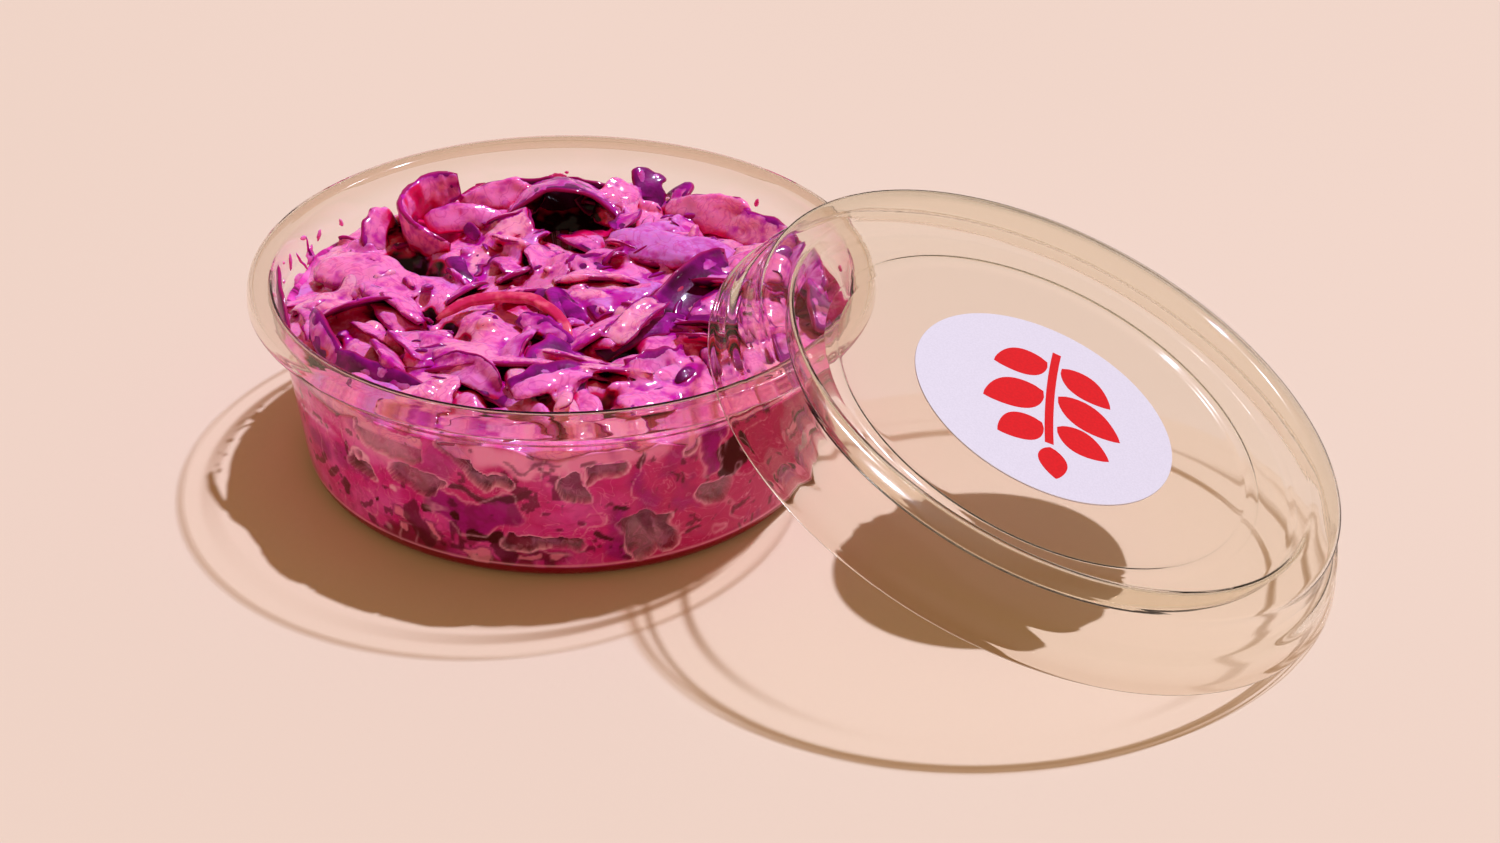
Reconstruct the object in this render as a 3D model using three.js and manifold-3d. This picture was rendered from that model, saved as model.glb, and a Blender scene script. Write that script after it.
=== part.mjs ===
// Red cabbage coleslaw in a round clear pot, with the pot's lid leaning on the rim.
// Units are millimetres, +Z is up, and the origin is the centre of the pot's base.

import * as THREE from 'three';
import { mergeVertices } from 'three/addons/utils/BufferGeometryUtils.js';
import Module from 'manifold-3d';

const wasm = await Module();
wasm.setup();

// ---- driving dimensions ---------------------------------------------------

const SEGMENTS = 48; // round a full turn of the pot and the lid
const TAU = 2 * Math.PI;
const DEGREE = Math.PI / 180;

const POT = {
  height: 37.8, // base to the top of the flange
  wall: 0.6,
  floor: 0.8,
  baseRadius: 50.4,
  baseCorner: 1.3,
  stepHeight: 29.8, // ledge on which the next pot of a stack rests
  stepRadius: 53.0, // inside, just below that ledge
  neckRadius: 53.6, // inside, just above it
  flangeInner: 54.1,
  flangeOuter: 58.2,
  lipRadius: 59.0, // the lip flares out as it goes down
  lipDrop: 3.4,
};

const LID = {
  wall: 0.5,
  footRadius: 61.6, // lowest, widest edge of the skirt
  skirtRadius: 60.3,
  shoulderHeight: 5.0, // above the foot's plane: this ledge seats on the pot's flange
  shoulderRadius: 59.4,
  collarRadius: 57.2,
  collarHeight: 6.5,
  crestRadius: 56.0,
  crestFoot: 9.5,
  height: 13.0,
  crestInner: 50.0,
  panelRadius: 49.2,
  panelHeight: 6.6, // top of the sunken flat panel
  ringRadius: 41.0, // low stiffening ring on the panel
  ringWidth: 1.6,
  ringHeight: 0.5,
  tilt: 20.15 * DEGREE,
  towards: -19.2 * DEGREE, // compass direction in which it slopes down
  touchX: 140.8, // where its foot touches the table
  touchY: -49.1,
};

const LABEL = { radius: 25.1, thickness: 0.25, gap: 0.3 };

const SLAW = {
  gap: 0.3, // to the pot's wall and floor
  middle: 31.8, // height of the bare surface away from the wall
  wallDrop: 3.0, // it sinks towards the wall, and more so at the front
  frontDrop: 1.2,
  dropFrom: 38,
  seed: 20241,
  shreds: 30, // scattered pieces besides the named ones
  thickness: 1.5,
};

// ---- small helpers --------------------------------------------------------

/** Seeded random numbers from 0 to 1. */
function dice(seed) {
  let state = seed;
  return () => {
    state = (state + 0x6d2b79f5) | 0;
    let t = Math.imul(state ^ (state >>> 15), 1 | state);
    t = (t + Math.imul(t ^ (t >>> 7), 61 | t)) ^ t;
    return ((t ^ (t >>> 14)) >>> 0) / 4294967296;
  };
}

const mix = (a, b, t) => a + (b - a) * t;

function smoothStep(low, high, value) {
  const t = Math.min(1, Math.max(0, (value - low) / (high - low)));
  return t * t * (3 - 2 * t);
}

/** Position-only geometry from corner points and triangles. */
function meshOf(points, triangles) {
  const geometry = new THREE.BufferGeometry();
  geometry.setAttribute('position', new THREE.Float32BufferAttribute(points.flat(), 3));
  geometry.setIndex(triangles.flat());
  return geometry;
}

/** Solid of revolution about +Z from [radius, height] corners, given outside first. */
function turned(profile, segments = SEGMENTS) {
  const corners = profile.map(([radius, height]) => new THREE.Vector2(radius, height));
  const geometry = new THREE.LatheGeometry(corners, segments);
  geometry.rotateX(Math.PI / 2);
  return geometry;
}

/** The same geometry with only positions, shared corners merged and faces pointing out. */
function closed(geometry) {
  const bare = geometry.clone();
  bare.deleteAttribute('normal');
  bare.deleteAttribute('uv');
  const merged = mergeVertices(bare, 1e-4);
  const position = merged.getAttribute('position');
  const kept = [];
  let volume = 0;
  const index = merged.index.array;
  const [a, b, c] = [new THREE.Vector3(), new THREE.Vector3(), new THREE.Vector3()];
  for (let i = 0; i < index.length; i += 3) {
    const [p, q, r] = [index[i], index[i + 1], index[i + 2]];
    if (p === q || q === r || r === p) continue;
    kept.push(p, q, r);
    a.fromBufferAttribute(position, p);
    b.fromBufferAttribute(position, q);
    c.fromBufferAttribute(position, r);
    volume += a.dot(b.cross(c));
  }
  if (volume < 0) {
    for (let i = 0; i < kept.length; i += 3) [kept[i], kept[i + 1]] = [kept[i + 1], kept[i]];
  }
  merged.setIndex(kept);
  return merged;
}

/** The largest closed skin of a mesh, so that sealed hollows are filled and scraps dropped. */
function mainShell(geometry) {
  const position = geometry.getAttribute('position');
  const index = geometry.index.array;
  const owner = Array.from({ length: position.count }, (_, i) => i);
  const root = (i) => {
    let top = i;
    while (owner[top] !== top) top = owner[top];
    owner[i] = top;
    return top;
  };
  for (let i = 0; i < index.length; i += 3) {
    owner[root(index[i + 1])] = root(index[i]);
    owner[root(index[i + 2])] = root(index[i]);
  }
  const volumes = new Map();
  const [a, b, c] = [new THREE.Vector3(), new THREE.Vector3(), new THREE.Vector3()];
  for (let i = 0; i < index.length; i += 3) {
    a.fromBufferAttribute(position, index[i]);
    b.fromBufferAttribute(position, index[i + 1]);
    c.fromBufferAttribute(position, index[i + 2]);
    const shell = root(index[i]);
    volumes.set(shell, (volumes.get(shell) ?? 0) + a.dot(b.cross(c)));
  }
  const [main] = [...volumes].reduce((best, entry) => (entry[1] > best[1] ? entry : best));
  const kept = [];
  for (let i = 0; i < index.length; i += 3) {
    if (root(index[i]) === main) kept.push(index[i], index[i + 1], index[i + 2]);
  }
  geometry.setIndex(kept);
  return geometry;
}

function toManifold(geometry) {
  const body = closed(geometry);
  return new wasm.Manifold(new wasm.Mesh({
    numProp: 3,
    vertProperties: new Float32Array(body.getAttribute('position').array),
    triVerts: new Uint32Array(body.index.array),
  }));
}

function fromManifold(solid) {
  const mesh = solid.getMesh();
  const geometry = new THREE.BufferGeometry();
  geometry.setAttribute('position', new THREE.BufferAttribute(mesh.vertProperties, 3));
  geometry.setIndex(new THREE.BufferAttribute(mesh.triVerts, 1));
  return geometry;
}

function part(name, geometry, color, roughness, extra = {}) {
  const body = closed(geometry);
  body.computeVertexNormals();
  const material = new THREE.MeshStandardMaterial({ color, roughness, metalness: 0, ...extra });
  const mesh = new THREE.Mesh(body, material);
  mesh.name = name;
  return mesh;
}

// ---- pot ------------------------------------------------------------------

/** Inside radius of the pot at a height above its floor. */
function potInside(height) {
  const rise = (height - POT.floor) / (POT.stepHeight - POT.floor);
  if (rise <= 1) return mix(POT.baseRadius - POT.wall, POT.stepRadius, rise);
  const neck = (height - POT.stepHeight) / (POT.height - POT.stepHeight);
  return mix(POT.neckRadius, POT.flangeInner, neck);
}

function potGeometry() {
  const { wall, baseRadius, baseCorner, height, lipDrop } = POT;
  const underFlange = height - wall;
  const lipFoot = height - lipDrop;
  const neckOutside = POT.neckRadius + wall;
  const outside = [
    [0, 0],
    [baseRadius - baseCorner, 0],
    [baseRadius - 0.3 * baseCorner, 0.3 * baseCorner],
    [baseRadius, baseCorner],
    [POT.stepRadius + wall, POT.stepHeight - wall],
    [neckOutside, POT.stepHeight],
    [POT.flangeInner + wall, underFlange],
    [POT.flangeOuter - wall, underFlange],
    [POT.lipRadius - wall, lipFoot],
    [POT.lipRadius, lipFoot],
    [POT.flangeOuter + 0.2, height - 0.4],
    [POT.flangeOuter - 0.3, height],
  ];
  const inside = [
    [POT.flangeInner + 0.3, height],
    [POT.flangeInner, height - 0.4],
    [POT.neckRadius, POT.stepHeight + wall],
    [POT.stepRadius, POT.stepHeight],
    [baseRadius - wall, POT.floor + baseCorner],
    [baseRadius - baseCorner, POT.floor],
    [0, POT.floor],
  ];
  return turned([...outside, ...inside]);
}

// ---- lid ------------------------------------------------------------------

function lidGeometry() {
  const { wall, height, panelHeight, ringRadius, ringWidth, ringHeight } = LID;
  const ring = [ringRadius + ringWidth, ringRadius + 0.5 * ringWidth, ringRadius - 0.5 * ringWidth,
    ringRadius - ringWidth];
  const lift = [0, ringHeight, ringHeight, 0];
  const top = [
    [LID.footRadius, 0],
    [LID.footRadius - 0.5, 1.0],
    [LID.skirtRadius, 1.4],
    [LID.shoulderRadius, LID.shoulderHeight - 0.2],
    [LID.shoulderRadius - 0.4, LID.shoulderHeight],
    [LID.collarRadius, LID.collarHeight],
    [LID.crestRadius, LID.crestFoot],
    [LID.crestRadius, height - 0.5],
    [LID.crestRadius - 0.5, height],
    [LID.crestInner + 0.5, height],
    [LID.crestInner, height - 0.6],
    [LID.panelRadius, panelHeight],
    ...ring.map((radius, i) => [radius, panelHeight + lift[i]]),
    [0, panelHeight],
  ];
  const under = [
    [0, panelHeight - wall],
    ...ring.map((radius, i) => [radius, panelHeight - wall + lift[i]]).reverse(),
    [LID.panelRadius + wall, panelHeight - wall],
    [LID.crestInner + wall, height - 0.6 - wall],
    [LID.crestRadius - wall, height - 0.6 - wall],
    [LID.crestRadius - wall, LID.crestFoot],
    [LID.collarRadius - wall, LID.collarHeight],
    [LID.shoulderRadius - 0.9, LID.shoulderHeight - 0.5],
    [LID.skirtRadius - wall, 1.2],
    [LID.footRadius - 1.0, 0.6],
    [LID.footRadius - wall, 0],
    [LID.footRadius, 0],
  ];
  return turned([...top, ...under]);
}

function labelGeometry() {
  const base = LID.panelHeight + LABEL.gap;
  const disc = new THREE.CylinderGeometry(LABEL.radius, LABEL.radius, LABEL.thickness, SEGMENTS);
  disc.rotateX(Math.PI / 2);
  disc.translate(0, 0, base + 0.5 * LABEL.thickness);
  return disc;
}

/** Group whose own plane z = 0 is the lid's foot, leaning from the table to the pot's rim. */
function leaningLid() {
  const group = new THREE.Group();
  const reach = LID.footRadius * Math.cos(LID.tilt);
  group.position.set(
    LID.touchX - reach * Math.cos(LID.towards),
    LID.touchY - reach * Math.sin(LID.towards),
    LID.footRadius * Math.sin(LID.tilt),
  );
  group.rotation.set(0, LID.tilt, LID.towards, 'ZYX');
  const clear = { transparent: true, opacity: 0.3 };
  group.add(part('lid', lidGeometry(), 0xf1e6dc, 0.08, clear));
  group.add(part('label', labelGeometry(), 0xe9e2ea, 0.6));
  return group;
}

// ---- coleslaw -------------------------------------------------------------

/** Dark hollows between the leaves. */
const HOLLOWS = [
  { x: -5, y: 31, radius: 9, depth: 5.5 },
  { x: -27, y: 27, radius: 7, depth: 4 },
  { x: -31, y: 14, radius: 5.5, depth: 5 },
  { x: -21, y: -13, radius: 4.5, depth: 4.5 },
  { x: 26, y: 0, radius: 6, depth: 4.5 },
  { x: 18, y: -21, radius: 4, depth: 3 },
  { x: -42, y: -20, radius: 4, depth: 4 },
  { x: 2, y: -33, radius: 4.5, depth: 3.5 },
  { x: 30, y: 30, radius: 6, depth: 4 },
  { x: 47, y: 3, radius: 5, depth: 4 },
];

/** Height of the heap's bare surface: lumpy, hollowed, and sinking towards the wall. */
function heapHeight(x, y) {
  const lumps = 0.9 * Math.sin(x / 5.1 + 1.3) * Math.cos(y / 6.3 - 0.4)
    + 0.6 * Math.sin((x + y) / 3.7 + 2.0) * Math.cos((x - y) / 4.3);
  const radius = Math.hypot(x, y);
  const front = radius > 0 ? 0.5 * (1 - y / radius) : 0;
  const fall = smoothStep(SLAW.dropFrom, POT.stepRadius, radius);
  const drop = (SLAW.wallDrop + SLAW.frontDrop * front) * fall;
  let pits = 0;
  for (const hollow of HOLLOWS) {
    const away = Math.hypot(x - hollow.x, y - hollow.y) / hollow.radius;
    pits += hollow.depth * Math.exp(-2 * away * away);
  }
  return SLAW.middle + lumps - drop - pits;
}

/** The dressed mass that fills the pot, as rings of corners from the floor up and over the top. */
function heapGeometry() {
  const sectors = 40;
  const topRadii = [46, 40, 34, 28, 22, 16, 10, 4];
  const sideSteps = 3;
  const foot = POT.floor + SLAW.gap;
  const rings = [];
  for (let i = 0; i <= sideSteps; i += 1) {
    rings.push((angle) => {
      const [c, s] = [Math.cos(angle), Math.sin(angle)];
      const brim = heapHeight(52.4 * c, 52.4 * s);
      const z = mix(foot, brim, i / sideSteps);
      const inset = i === 0 ? POT.baseCorner : 0;
      const radius = potInside(z) - SLAW.gap - inset;
      return [radius * c, radius * s, z];
    });
  }
  for (const radius of topRadii) {
    rings.push((angle) => {
      const [x, y] = [radius * Math.cos(angle), radius * Math.sin(angle)];
      return [x, y, heapHeight(x, y)];
    });
  }
  const points = [];
  for (const ring of rings) {
    for (let k = 0; k < sectors; k += 1) points.push(ring((k / sectors) * TAU));
  }
  const triangles = [];
  for (let i = 0; i + 1 < rings.length; i += 1) {
    for (let k = 0; k < sectors; k += 1) {
      const next = (k + 1) % sectors;
      const [a, b] = [i * sectors + k, i * sectors + next];
      const [c, d] = [a + sectors, b + sectors];
      triangles.push([a, b, d], [a, d, c]);
    }
  }
  const floorPole = points.push([0, 0, foot]) - 1;
  const topPole = points.push([0, 0, heapHeight(0, 0)]) - 1;
  const last = (rings.length - 1) * sectors;
  for (let k = 0; k < sectors; k += 1) {
    const next = (k + 1) % sectors;
    triangles.push([floorPole, next, k], [topPole, last + k, last + next]);
  }
  return meshOf(points, triangles);
}

/**
 * One shred or leaf: a strip swept along a bent middle line.
 * curl bends it in its upright plane (positive is arched), sweep bends it sideways, cup lifts
 * its long edges, twist turns it from end to end. x, y, z is the middle of the strip.
 */
function shredGeometry(spec) {
  const {
    x, y, z, length, width, thickness = SLAW.thickness, heading = 0, pitch = 0, roll = 0,
    curl = 0, sweep = 0, cup = 0, twist = 0, taper = 0.35, columns = 1, steps = 6,
  } = spec;
  const line = [];
  let spot = new THREE.Vector3();
  const stride = length / steps;
  const direction = (t) => {
    const rise = (pitch - curl * (t - 0.5)) * DEGREE;
    const turn = (heading + sweep * (t - 0.5)) * DEGREE;
    return { rise, turn };
  };
  for (let i = 0; i <= steps; i += 1) {
    const t = i / steps;
    const { rise, turn } = direction(t);
    line.push({ spot: spot.clone(), t, rise, turn });
    const ahead = direction(t + 0.5 / steps);
    spot = spot.clone().add(new THREE.Vector3(
      Math.cos(ahead.rise) * Math.cos(ahead.turn),
      Math.cos(ahead.rise) * Math.sin(ahead.turn),
      Math.sin(ahead.rise),
    ).multiplyScalar(stride));
  }
  const middle = line[Math.floor(steps / 2)].spot.clone()
    .add(line[Math.ceil(steps / 2)].spot).multiplyScalar(0.5);
  const across = columns + 1;
  const points = [];
  for (const { spot: at, t, rise, turn } of line) {
    const along = new THREE.Vector3(
      Math.cos(rise) * Math.cos(turn), Math.cos(rise) * Math.sin(turn), Math.sin(rise));
    const side = new THREE.Vector3(-Math.sin(turn), Math.cos(turn), 0);
    const up = new THREE.Vector3().crossVectors(along, side);
    const lean = (roll + twist * (t - 0.5)) * DEGREE;
    const v = side.clone().multiplyScalar(Math.cos(lean)).addScaledVector(up, Math.sin(lean));
    const w = up.clone().multiplyScalar(Math.cos(lean)).addScaledVector(side, -Math.sin(lean));
    const half = 0.5 * width * (1 - taper * (2 * t - 1) ** 4);
    for (const face of [1, -1]) {
      for (let j = 0; j < across; j += 1) {
        const q = 2 * (j / columns) - 1;
        const lift = face * 0.5 * thickness + cup * q * q;
        points.push(new THREE.Vector3(x, y, z).add(at).sub(middle)
          .addScaledVector(v, q * half).addScaledVector(w, lift).toArray());
      }
    }
  }
  const ringSize = 2 * across;
  const loop = [];
  for (let j = 0; j < across; j += 1) loop.push(j);
  for (let j = across - 1; j >= 0; j -= 1) loop.push(across + j);
  const triangles = [];
  for (let i = 0; i < steps; i += 1) {
    for (let k = 0; k < ringSize; k += 1) {
      const [p, q] = [loop[k], loop[(k + 1) % ringSize]];
      const [a, b] = [i * ringSize + p, i * ringSize + q];
      triangles.push([a, b, b + ringSize], [a, b + ringSize, a + ringSize]);
    }
  }
  for (const [start, flip] of [[0, true], [steps * ringSize, false]]) {
    for (let j = 0; j < columns; j += 1) {
      const [a, b, c, d] = [j, j + 1, across + j + 1, across + j].map((k) => k + start);
      const pair = [[a, b, c], [a, c, d]];
      triangles.push(...(flip ? pair.map(([p, q, r]) => [p, r, q]) : pair));
    }
  }
  return meshOf(points, triangles);
}

/** The pieces that give this heap its look, from the back to the front. */
const NAMED_SHREDS = [
  // tall folded leaf at the back left: an upright curl, open to the right
  { x: -34.5, y: 26, z: 32.6, length: 32, width: 9.5, heading: 92, pitch: 9, roll: 78, sweep: -175,
    columns: 2, steps: 9, taper: 0.45 },
  { x: -23, y: 27, z: 32.4, length: 15, width: 6, heading: 8, roll: 48, curl: 40, columns: 2 },
  { x: -39, y: 22, z: 32.0, length: 13, width: 4.5, heading: 78, pitch: 22, roll: 60, curl: 20, taper: 0.7 },
  // arched leaf at the back, hollow underneath
  { x: -5, y: 36, z: 36.2, length: 32, width: 11, heading: 4, pitch: 6, roll: -14, curl: 165,
    columns: 2, steps: 10, thickness: 1.3 },
  // upright tips along the back wall
  { x: 7, y: 37, z: 32.2, length: 13, width: 8, heading: 72, pitch: 18, roll: 24, curl: 30, columns: 2 },
  { x: 13, y: 43, z: 31.6, length: 12, width: 7, heading: 84, pitch: 40, roll: 20, taper: 0.9 },
  { x: 19, y: 41, z: 31.0, length: 12, width: 5, heading: 70, pitch: 33, roll: -30, taper: 0.9 },
  { x: 26, y: 35, z: 31.0, length: 19, width: 9, heading: -22, pitch: 4, roll: 52, curl: 40, columns: 2 },
  { x: 36, y: 28, z: 30.6, length: 17, width: 8, heading: -38, pitch: 0, roll: 48, curl: 40, columns: 2 },
  { x: -17, y: 38, z: 32.0, length: 16, width: 7, heading: 15, pitch: 4, roll: 50, curl: 40, columns: 2 },
  // thick pale plank of cabbage stem
  { x: 19, y: 15, z: 32.6, length: 25, width: 8.5, heading: -13, pitch: 0, roll: 18, curl: 14,
    thickness: 3.0, taper: 0.15, columns: 2 },
  // coral strand bent into a loop, left of the middle
  { x: -9, y: -7, z: 32.6, length: 31, width: 2.2, heading: -8, pitch: 0, roll: 10, curl: 28,
    sweep: -150, thickness: 1.6, steps: 10, taper: 0.2 },
  // purple strips in the middle
  { x: -1, y: -7, z: 32.4, length: 18, width: 4, heading: -48, pitch: 4, roll: 20, curl: 40, columns: 2 },
  { x: -2, y: -17, z: 32.0, length: 17, width: 4.5, heading: -48, pitch: 0, roll: 30, curl: 30, columns: 2 },
  { x: 10, y: -15, z: 32.4, length: 25, width: 5, heading: 48, pitch: 0, roll: -25, curl: 25, columns: 2 },
  { x: 16, y: -15, z: 32.0, length: 22, width: 5, heading: 38, pitch: 2, roll: 30, curl: 60, columns: 2 },
  // dark curved leaf right of the middle
  { x: 24, y: 1, z: 33.2, length: 25, width: 7, heading: 62, pitch: 8, roll: -38, curl: 30, cup: 1.2,
    columns: 3 },
  { x: 30, y: -4, z: 32.2, length: 18, width: 6, heading: 55, pitch: 0, roll: 20, curl: 50, columns: 2 },
  // broad pale leaves on the left
  { x: -38, y: 3, z: 32.0, length: 24, width: 14, heading: -38, pitch: 0, roll: 6, curl: 55, columns: 3,
    cup: -1.2 },
  { x: -30, y: -6, z: 31.8, length: 20, width: 9, heading: -65, pitch: 0, roll: -8, curl: 50, columns: 2 },
  // leaves at the front
  { x: -17, y: -23, z: 31.4, length: 18, width: 8, heading: -18, pitch: 0, roll: -12, curl: 45, columns: 2 },
  { x: -3, y: -30, z: 31.4, length: 23, width: 7, heading: 8, pitch: 0, roll: -24, curl: 40, columns: 2,
    thickness: 1.9 },
  { x: -7, y: -38, z: 30.2, length: 19, width: 4.5, heading: -42, pitch: 0, roll: 30, curl: 35, columns: 2 },
  { x: 5, y: -39, z: 30.2, length: 14, width: 7, heading: -62, pitch: 6, roll: 16, curl: 35, columns: 2 },
  { x: 17, y: -28, z: 31.0, length: 17, width: 10, heading: 22, pitch: 0, roll: 8, curl: 65, columns: 3,
    cup: -0.8 },
  { x: -31, y: -32, z: 30.6, length: 26, width: 4.5, heading: -34, pitch: 0, roll: 55, curl: 24, sweep: 22,
    columns: 2 },
  { x: -43, y: -19, z: 31.2, length: 18, width: 5, heading: -62, pitch: 0, roll: 50, curl: 30, sweep: 20 },
  { x: -50.5, y: -4, z: 31.6, length: 24, width: 6, heading: -80, pitch: 4, roll: 70, curl: 20, sweep: 26,
    thickness: 1.2 },
  // dark leaves under the lid's edge
  { x: 45, y: 12, z: 32.4, length: 20, width: 7, heading: -75, pitch: 0, roll: 30, curl: 50, columns: 2 },
  { x: 48, y: -2, z: 31.6, length: 20, width: 6, heading: -85, pitch: 0, roll: -40, curl: 40, columns: 2 },
];

/** Smaller shreds strewn over the heap by a golden-angle spiral with seeded jitter. */
function strewnShreds() {
  const random = dice(SLAW.seed);
  const between = (low, high) => mix(low, high, random());
  const turn = Math.PI * (3 - Math.sqrt(5));
  const specs = [];
  for (let i = 0; i < SLAW.shreds; i += 1) {
    const radius = 49 * Math.sqrt((i + 0.5) / SLAW.shreds);
    const angle = i * turn + between(-0.3, 0.3);
    const [x, y] = [radius * Math.cos(angle), radius * Math.sin(angle)];
    specs.push({
      x,
      y,
      z: heapHeight(x, y) + between(0.1, 0.8),
      length: between(9, 17),
      width: between(2, 4.4),
      heading: between(0, 360),
      pitch: between(-8, 8),
      roll: between(-45, 45),
      curl: between(25, 75),
      sweep: between(-40, 40),
      thickness: between(1.3, 1.9),
      steps: 5,
    });
  }
  return specs;
}

/** Room for the food: the pot's inside less the gap, open at the top. */
function foodSpace() {
  const { gap } = SLAW;
  const top = POT.height + 4;
  return turned([
    [0, POT.floor + gap],
    [POT.baseRadius - POT.baseCorner - gap, POT.floor + gap],
    [POT.baseRadius - POT.wall - gap, POT.floor + POT.baseCorner + gap],
    [POT.stepRadius - gap, POT.stepHeight],
    [POT.neckRadius - gap, POT.stepHeight + POT.wall],
    [POT.neckRadius - gap, top],
    [0, top],
  ]);
}

function slawGeometry() {
  let heap = toManifold(heapGeometry());
  for (const spec of [...NAMED_SHREDS, ...strewnShreds()]) {
    heap = heap.add(toManifold(shredGeometry(spec)));
  }
  return mainShell(fromManifold(heap.intersect(toManifold(foodSpace()))));
}

// ---- the whole object -----------------------------------------------------

const group = new THREE.Group();
const clearPot = { transparent: true, opacity: 0.3 };
group.add(part('tub', potGeometry(), 0xf1e6dc, 0.08, clearPot));
group.add(part('coleslaw', slawGeometry(), 0xc23c96, 0.3));
group.add(leaningLid());

export default group;
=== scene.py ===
"""Red cabbage coleslaw in a clear round pot, with the clear lid leaning on its rim.

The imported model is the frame. This script dresses it: the pot and the lid become smooth clear
sheet, the label gets its paper and ink, and the heap becomes cabbage shreds under a pink dressing
that is pressed against the pot's wall. Sizes are in millimetres, and meshes are written in metres.
"""

from __future__ import annotations

import logging
import math
from dataclasses import dataclass, field, replace
from enum import Enum
from typing import Iterator, Sequence

import bpy
import numpy as np
from mathutils import Matrix, Vector
from mathutils.bvhtree import BVHTree

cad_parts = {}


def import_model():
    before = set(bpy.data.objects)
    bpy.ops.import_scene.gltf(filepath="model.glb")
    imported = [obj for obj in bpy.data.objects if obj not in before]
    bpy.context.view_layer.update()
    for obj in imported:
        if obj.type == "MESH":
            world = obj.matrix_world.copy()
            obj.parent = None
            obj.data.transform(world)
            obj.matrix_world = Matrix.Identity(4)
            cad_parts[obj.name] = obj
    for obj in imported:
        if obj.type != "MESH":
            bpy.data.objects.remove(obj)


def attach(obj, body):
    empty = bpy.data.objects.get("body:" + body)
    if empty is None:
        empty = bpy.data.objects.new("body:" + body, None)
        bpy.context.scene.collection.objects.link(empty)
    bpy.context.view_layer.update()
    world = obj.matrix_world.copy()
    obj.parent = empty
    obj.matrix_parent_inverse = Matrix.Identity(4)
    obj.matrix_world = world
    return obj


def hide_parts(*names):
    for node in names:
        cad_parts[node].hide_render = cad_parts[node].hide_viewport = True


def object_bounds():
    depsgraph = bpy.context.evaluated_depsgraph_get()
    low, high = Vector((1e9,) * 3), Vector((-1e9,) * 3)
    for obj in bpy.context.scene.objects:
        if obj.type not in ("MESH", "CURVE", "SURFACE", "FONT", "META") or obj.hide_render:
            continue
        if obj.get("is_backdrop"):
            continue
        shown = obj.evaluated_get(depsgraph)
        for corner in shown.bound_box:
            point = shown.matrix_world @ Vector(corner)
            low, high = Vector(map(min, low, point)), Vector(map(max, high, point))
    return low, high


MM = 0.001
TAU = 2 * math.pi
GOLDEN = 3 - math.sqrt(5)  # the golden angle in half turns, which spreads places evenly on a spiral
TINY = 1e-6  # keeps a division from meeting 0
BODY = "root"
log = logging.getLogger("coleslaw")

Array = np.ndarray
Colour = tuple[float, float, float, float]
Socket = bpy.types.NodeSocket
Tree = bpy.types.NodeTree


# ---- small helpers ---------------------------------------------------------


def linear(hex_code: str) -> Colour:
    """The linear colour of an sRGB hex code such as '#C45BAF'."""
    parts = [int(hex_code[i : i + 2], 16) / 255 for i in (1, 3, 5)]
    return (*[c / 12.92 if c <= 0.04045 else ((c + 0.055) / 1.055) ** 2.4 for c in parts], 1.0)


def smooth_step(low: float, high: float, value: Array) -> Array:
    """A soft step from 0 at low to 1 at high."""
    t = np.clip((value - low) / (high - low), 0.0, 1.0)
    return t * t * (3 - 2 * t)


class Dice:
    """Seeded random numbers from 0 to 1, the same sequence as the pot's solid model uses."""

    def __init__(self, seed: int) -> None:
        """Starts the sequence at a seed."""
        self.state = seed

    def roll(self) -> float:
        """Draws the next number.

        Returns:
            The number.
        """
        mask = 0xFFFFFFFF
        self.state = (self.state + 0x6D2B79F5) & mask
        t = ((self.state ^ (self.state >> 15)) * (1 | self.state)) & mask
        t = ((t + (((t ^ (t >> 7)) * (61 | t)) & mask)) & mask) ^ t
        return ((t ^ (t >> 14)) & mask) / 4294967296

    def between(self, low: float, high: float) -> float:
        """The next number, spread from low to high."""
        return low + (high - low) * self.roll()


def lattice(corner: Array, seed: int) -> Array:
    """A fixed random value from -1 to 1 for each whole-number corner.

    Args:
        corner: whole numbers, shape (n, 3).
        seed: picks one of many unrelated lattices.

    Returns:
        One value a corner.
    """
    mask = np.uint64(0xFFFFFFFF)
    c = corner.astype(np.int64).astype(np.uint64)
    n = c[:, 0] * np.uint64(374761393) + c[:, 1] * np.uint64(668265263)
    n = (n + c[:, 2] * np.uint64(1442695041) + np.uint64(seed * 974634777)) & mask
    n = ((n ^ (n >> np.uint64(13))) * np.uint64(1274126177)) & mask
    n = ((n ^ (n >> np.uint64(15))) * np.uint64(2246822519)) & mask
    return ((n ^ (n >> np.uint64(16))) & np.uint64(0xFFFF)).astype(float) / 32767.5 - 1.0


def noise(points: Array, size: float, seed: int, octaves: int = 1) -> Array:
    """Smooth value noise from about -1 to 1.

    Args:
        points: places in mm, shape (n, 3).
        size: width of one lump in mm.
        seed: picks the pattern.
        octaves: how many times it is repeated at half the size and half the strength.

    Returns:
        One value a point.
    """
    total, strength, reach = np.zeros(len(points)), 1.0, 0.0
    for octave in range(octaves):
        place = points / (size / 2**octave) + 17.3 * (octave + 1)
        low = np.floor(place)
        t = place - low
        t = t * t * t * (t * (t * 6 - 15) + 10)
        value = np.zeros(len(points))
        for dx in (0, 1):
            for dy in (0, 1):
                for dz in (0, 1):
                    weight = (
                        (t[:, 0] if dx else 1 - t[:, 0])
                        * (t[:, 1] if dy else 1 - t[:, 1])
                        * (t[:, 2] if dz else 1 - t[:, 2])
                    )
                    value += weight * lattice(low + (dx, dy, dz), seed + octave)
        total += strength * value
        reach += strength
        strength *= 0.5
    return 1.6 * total / reach


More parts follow.
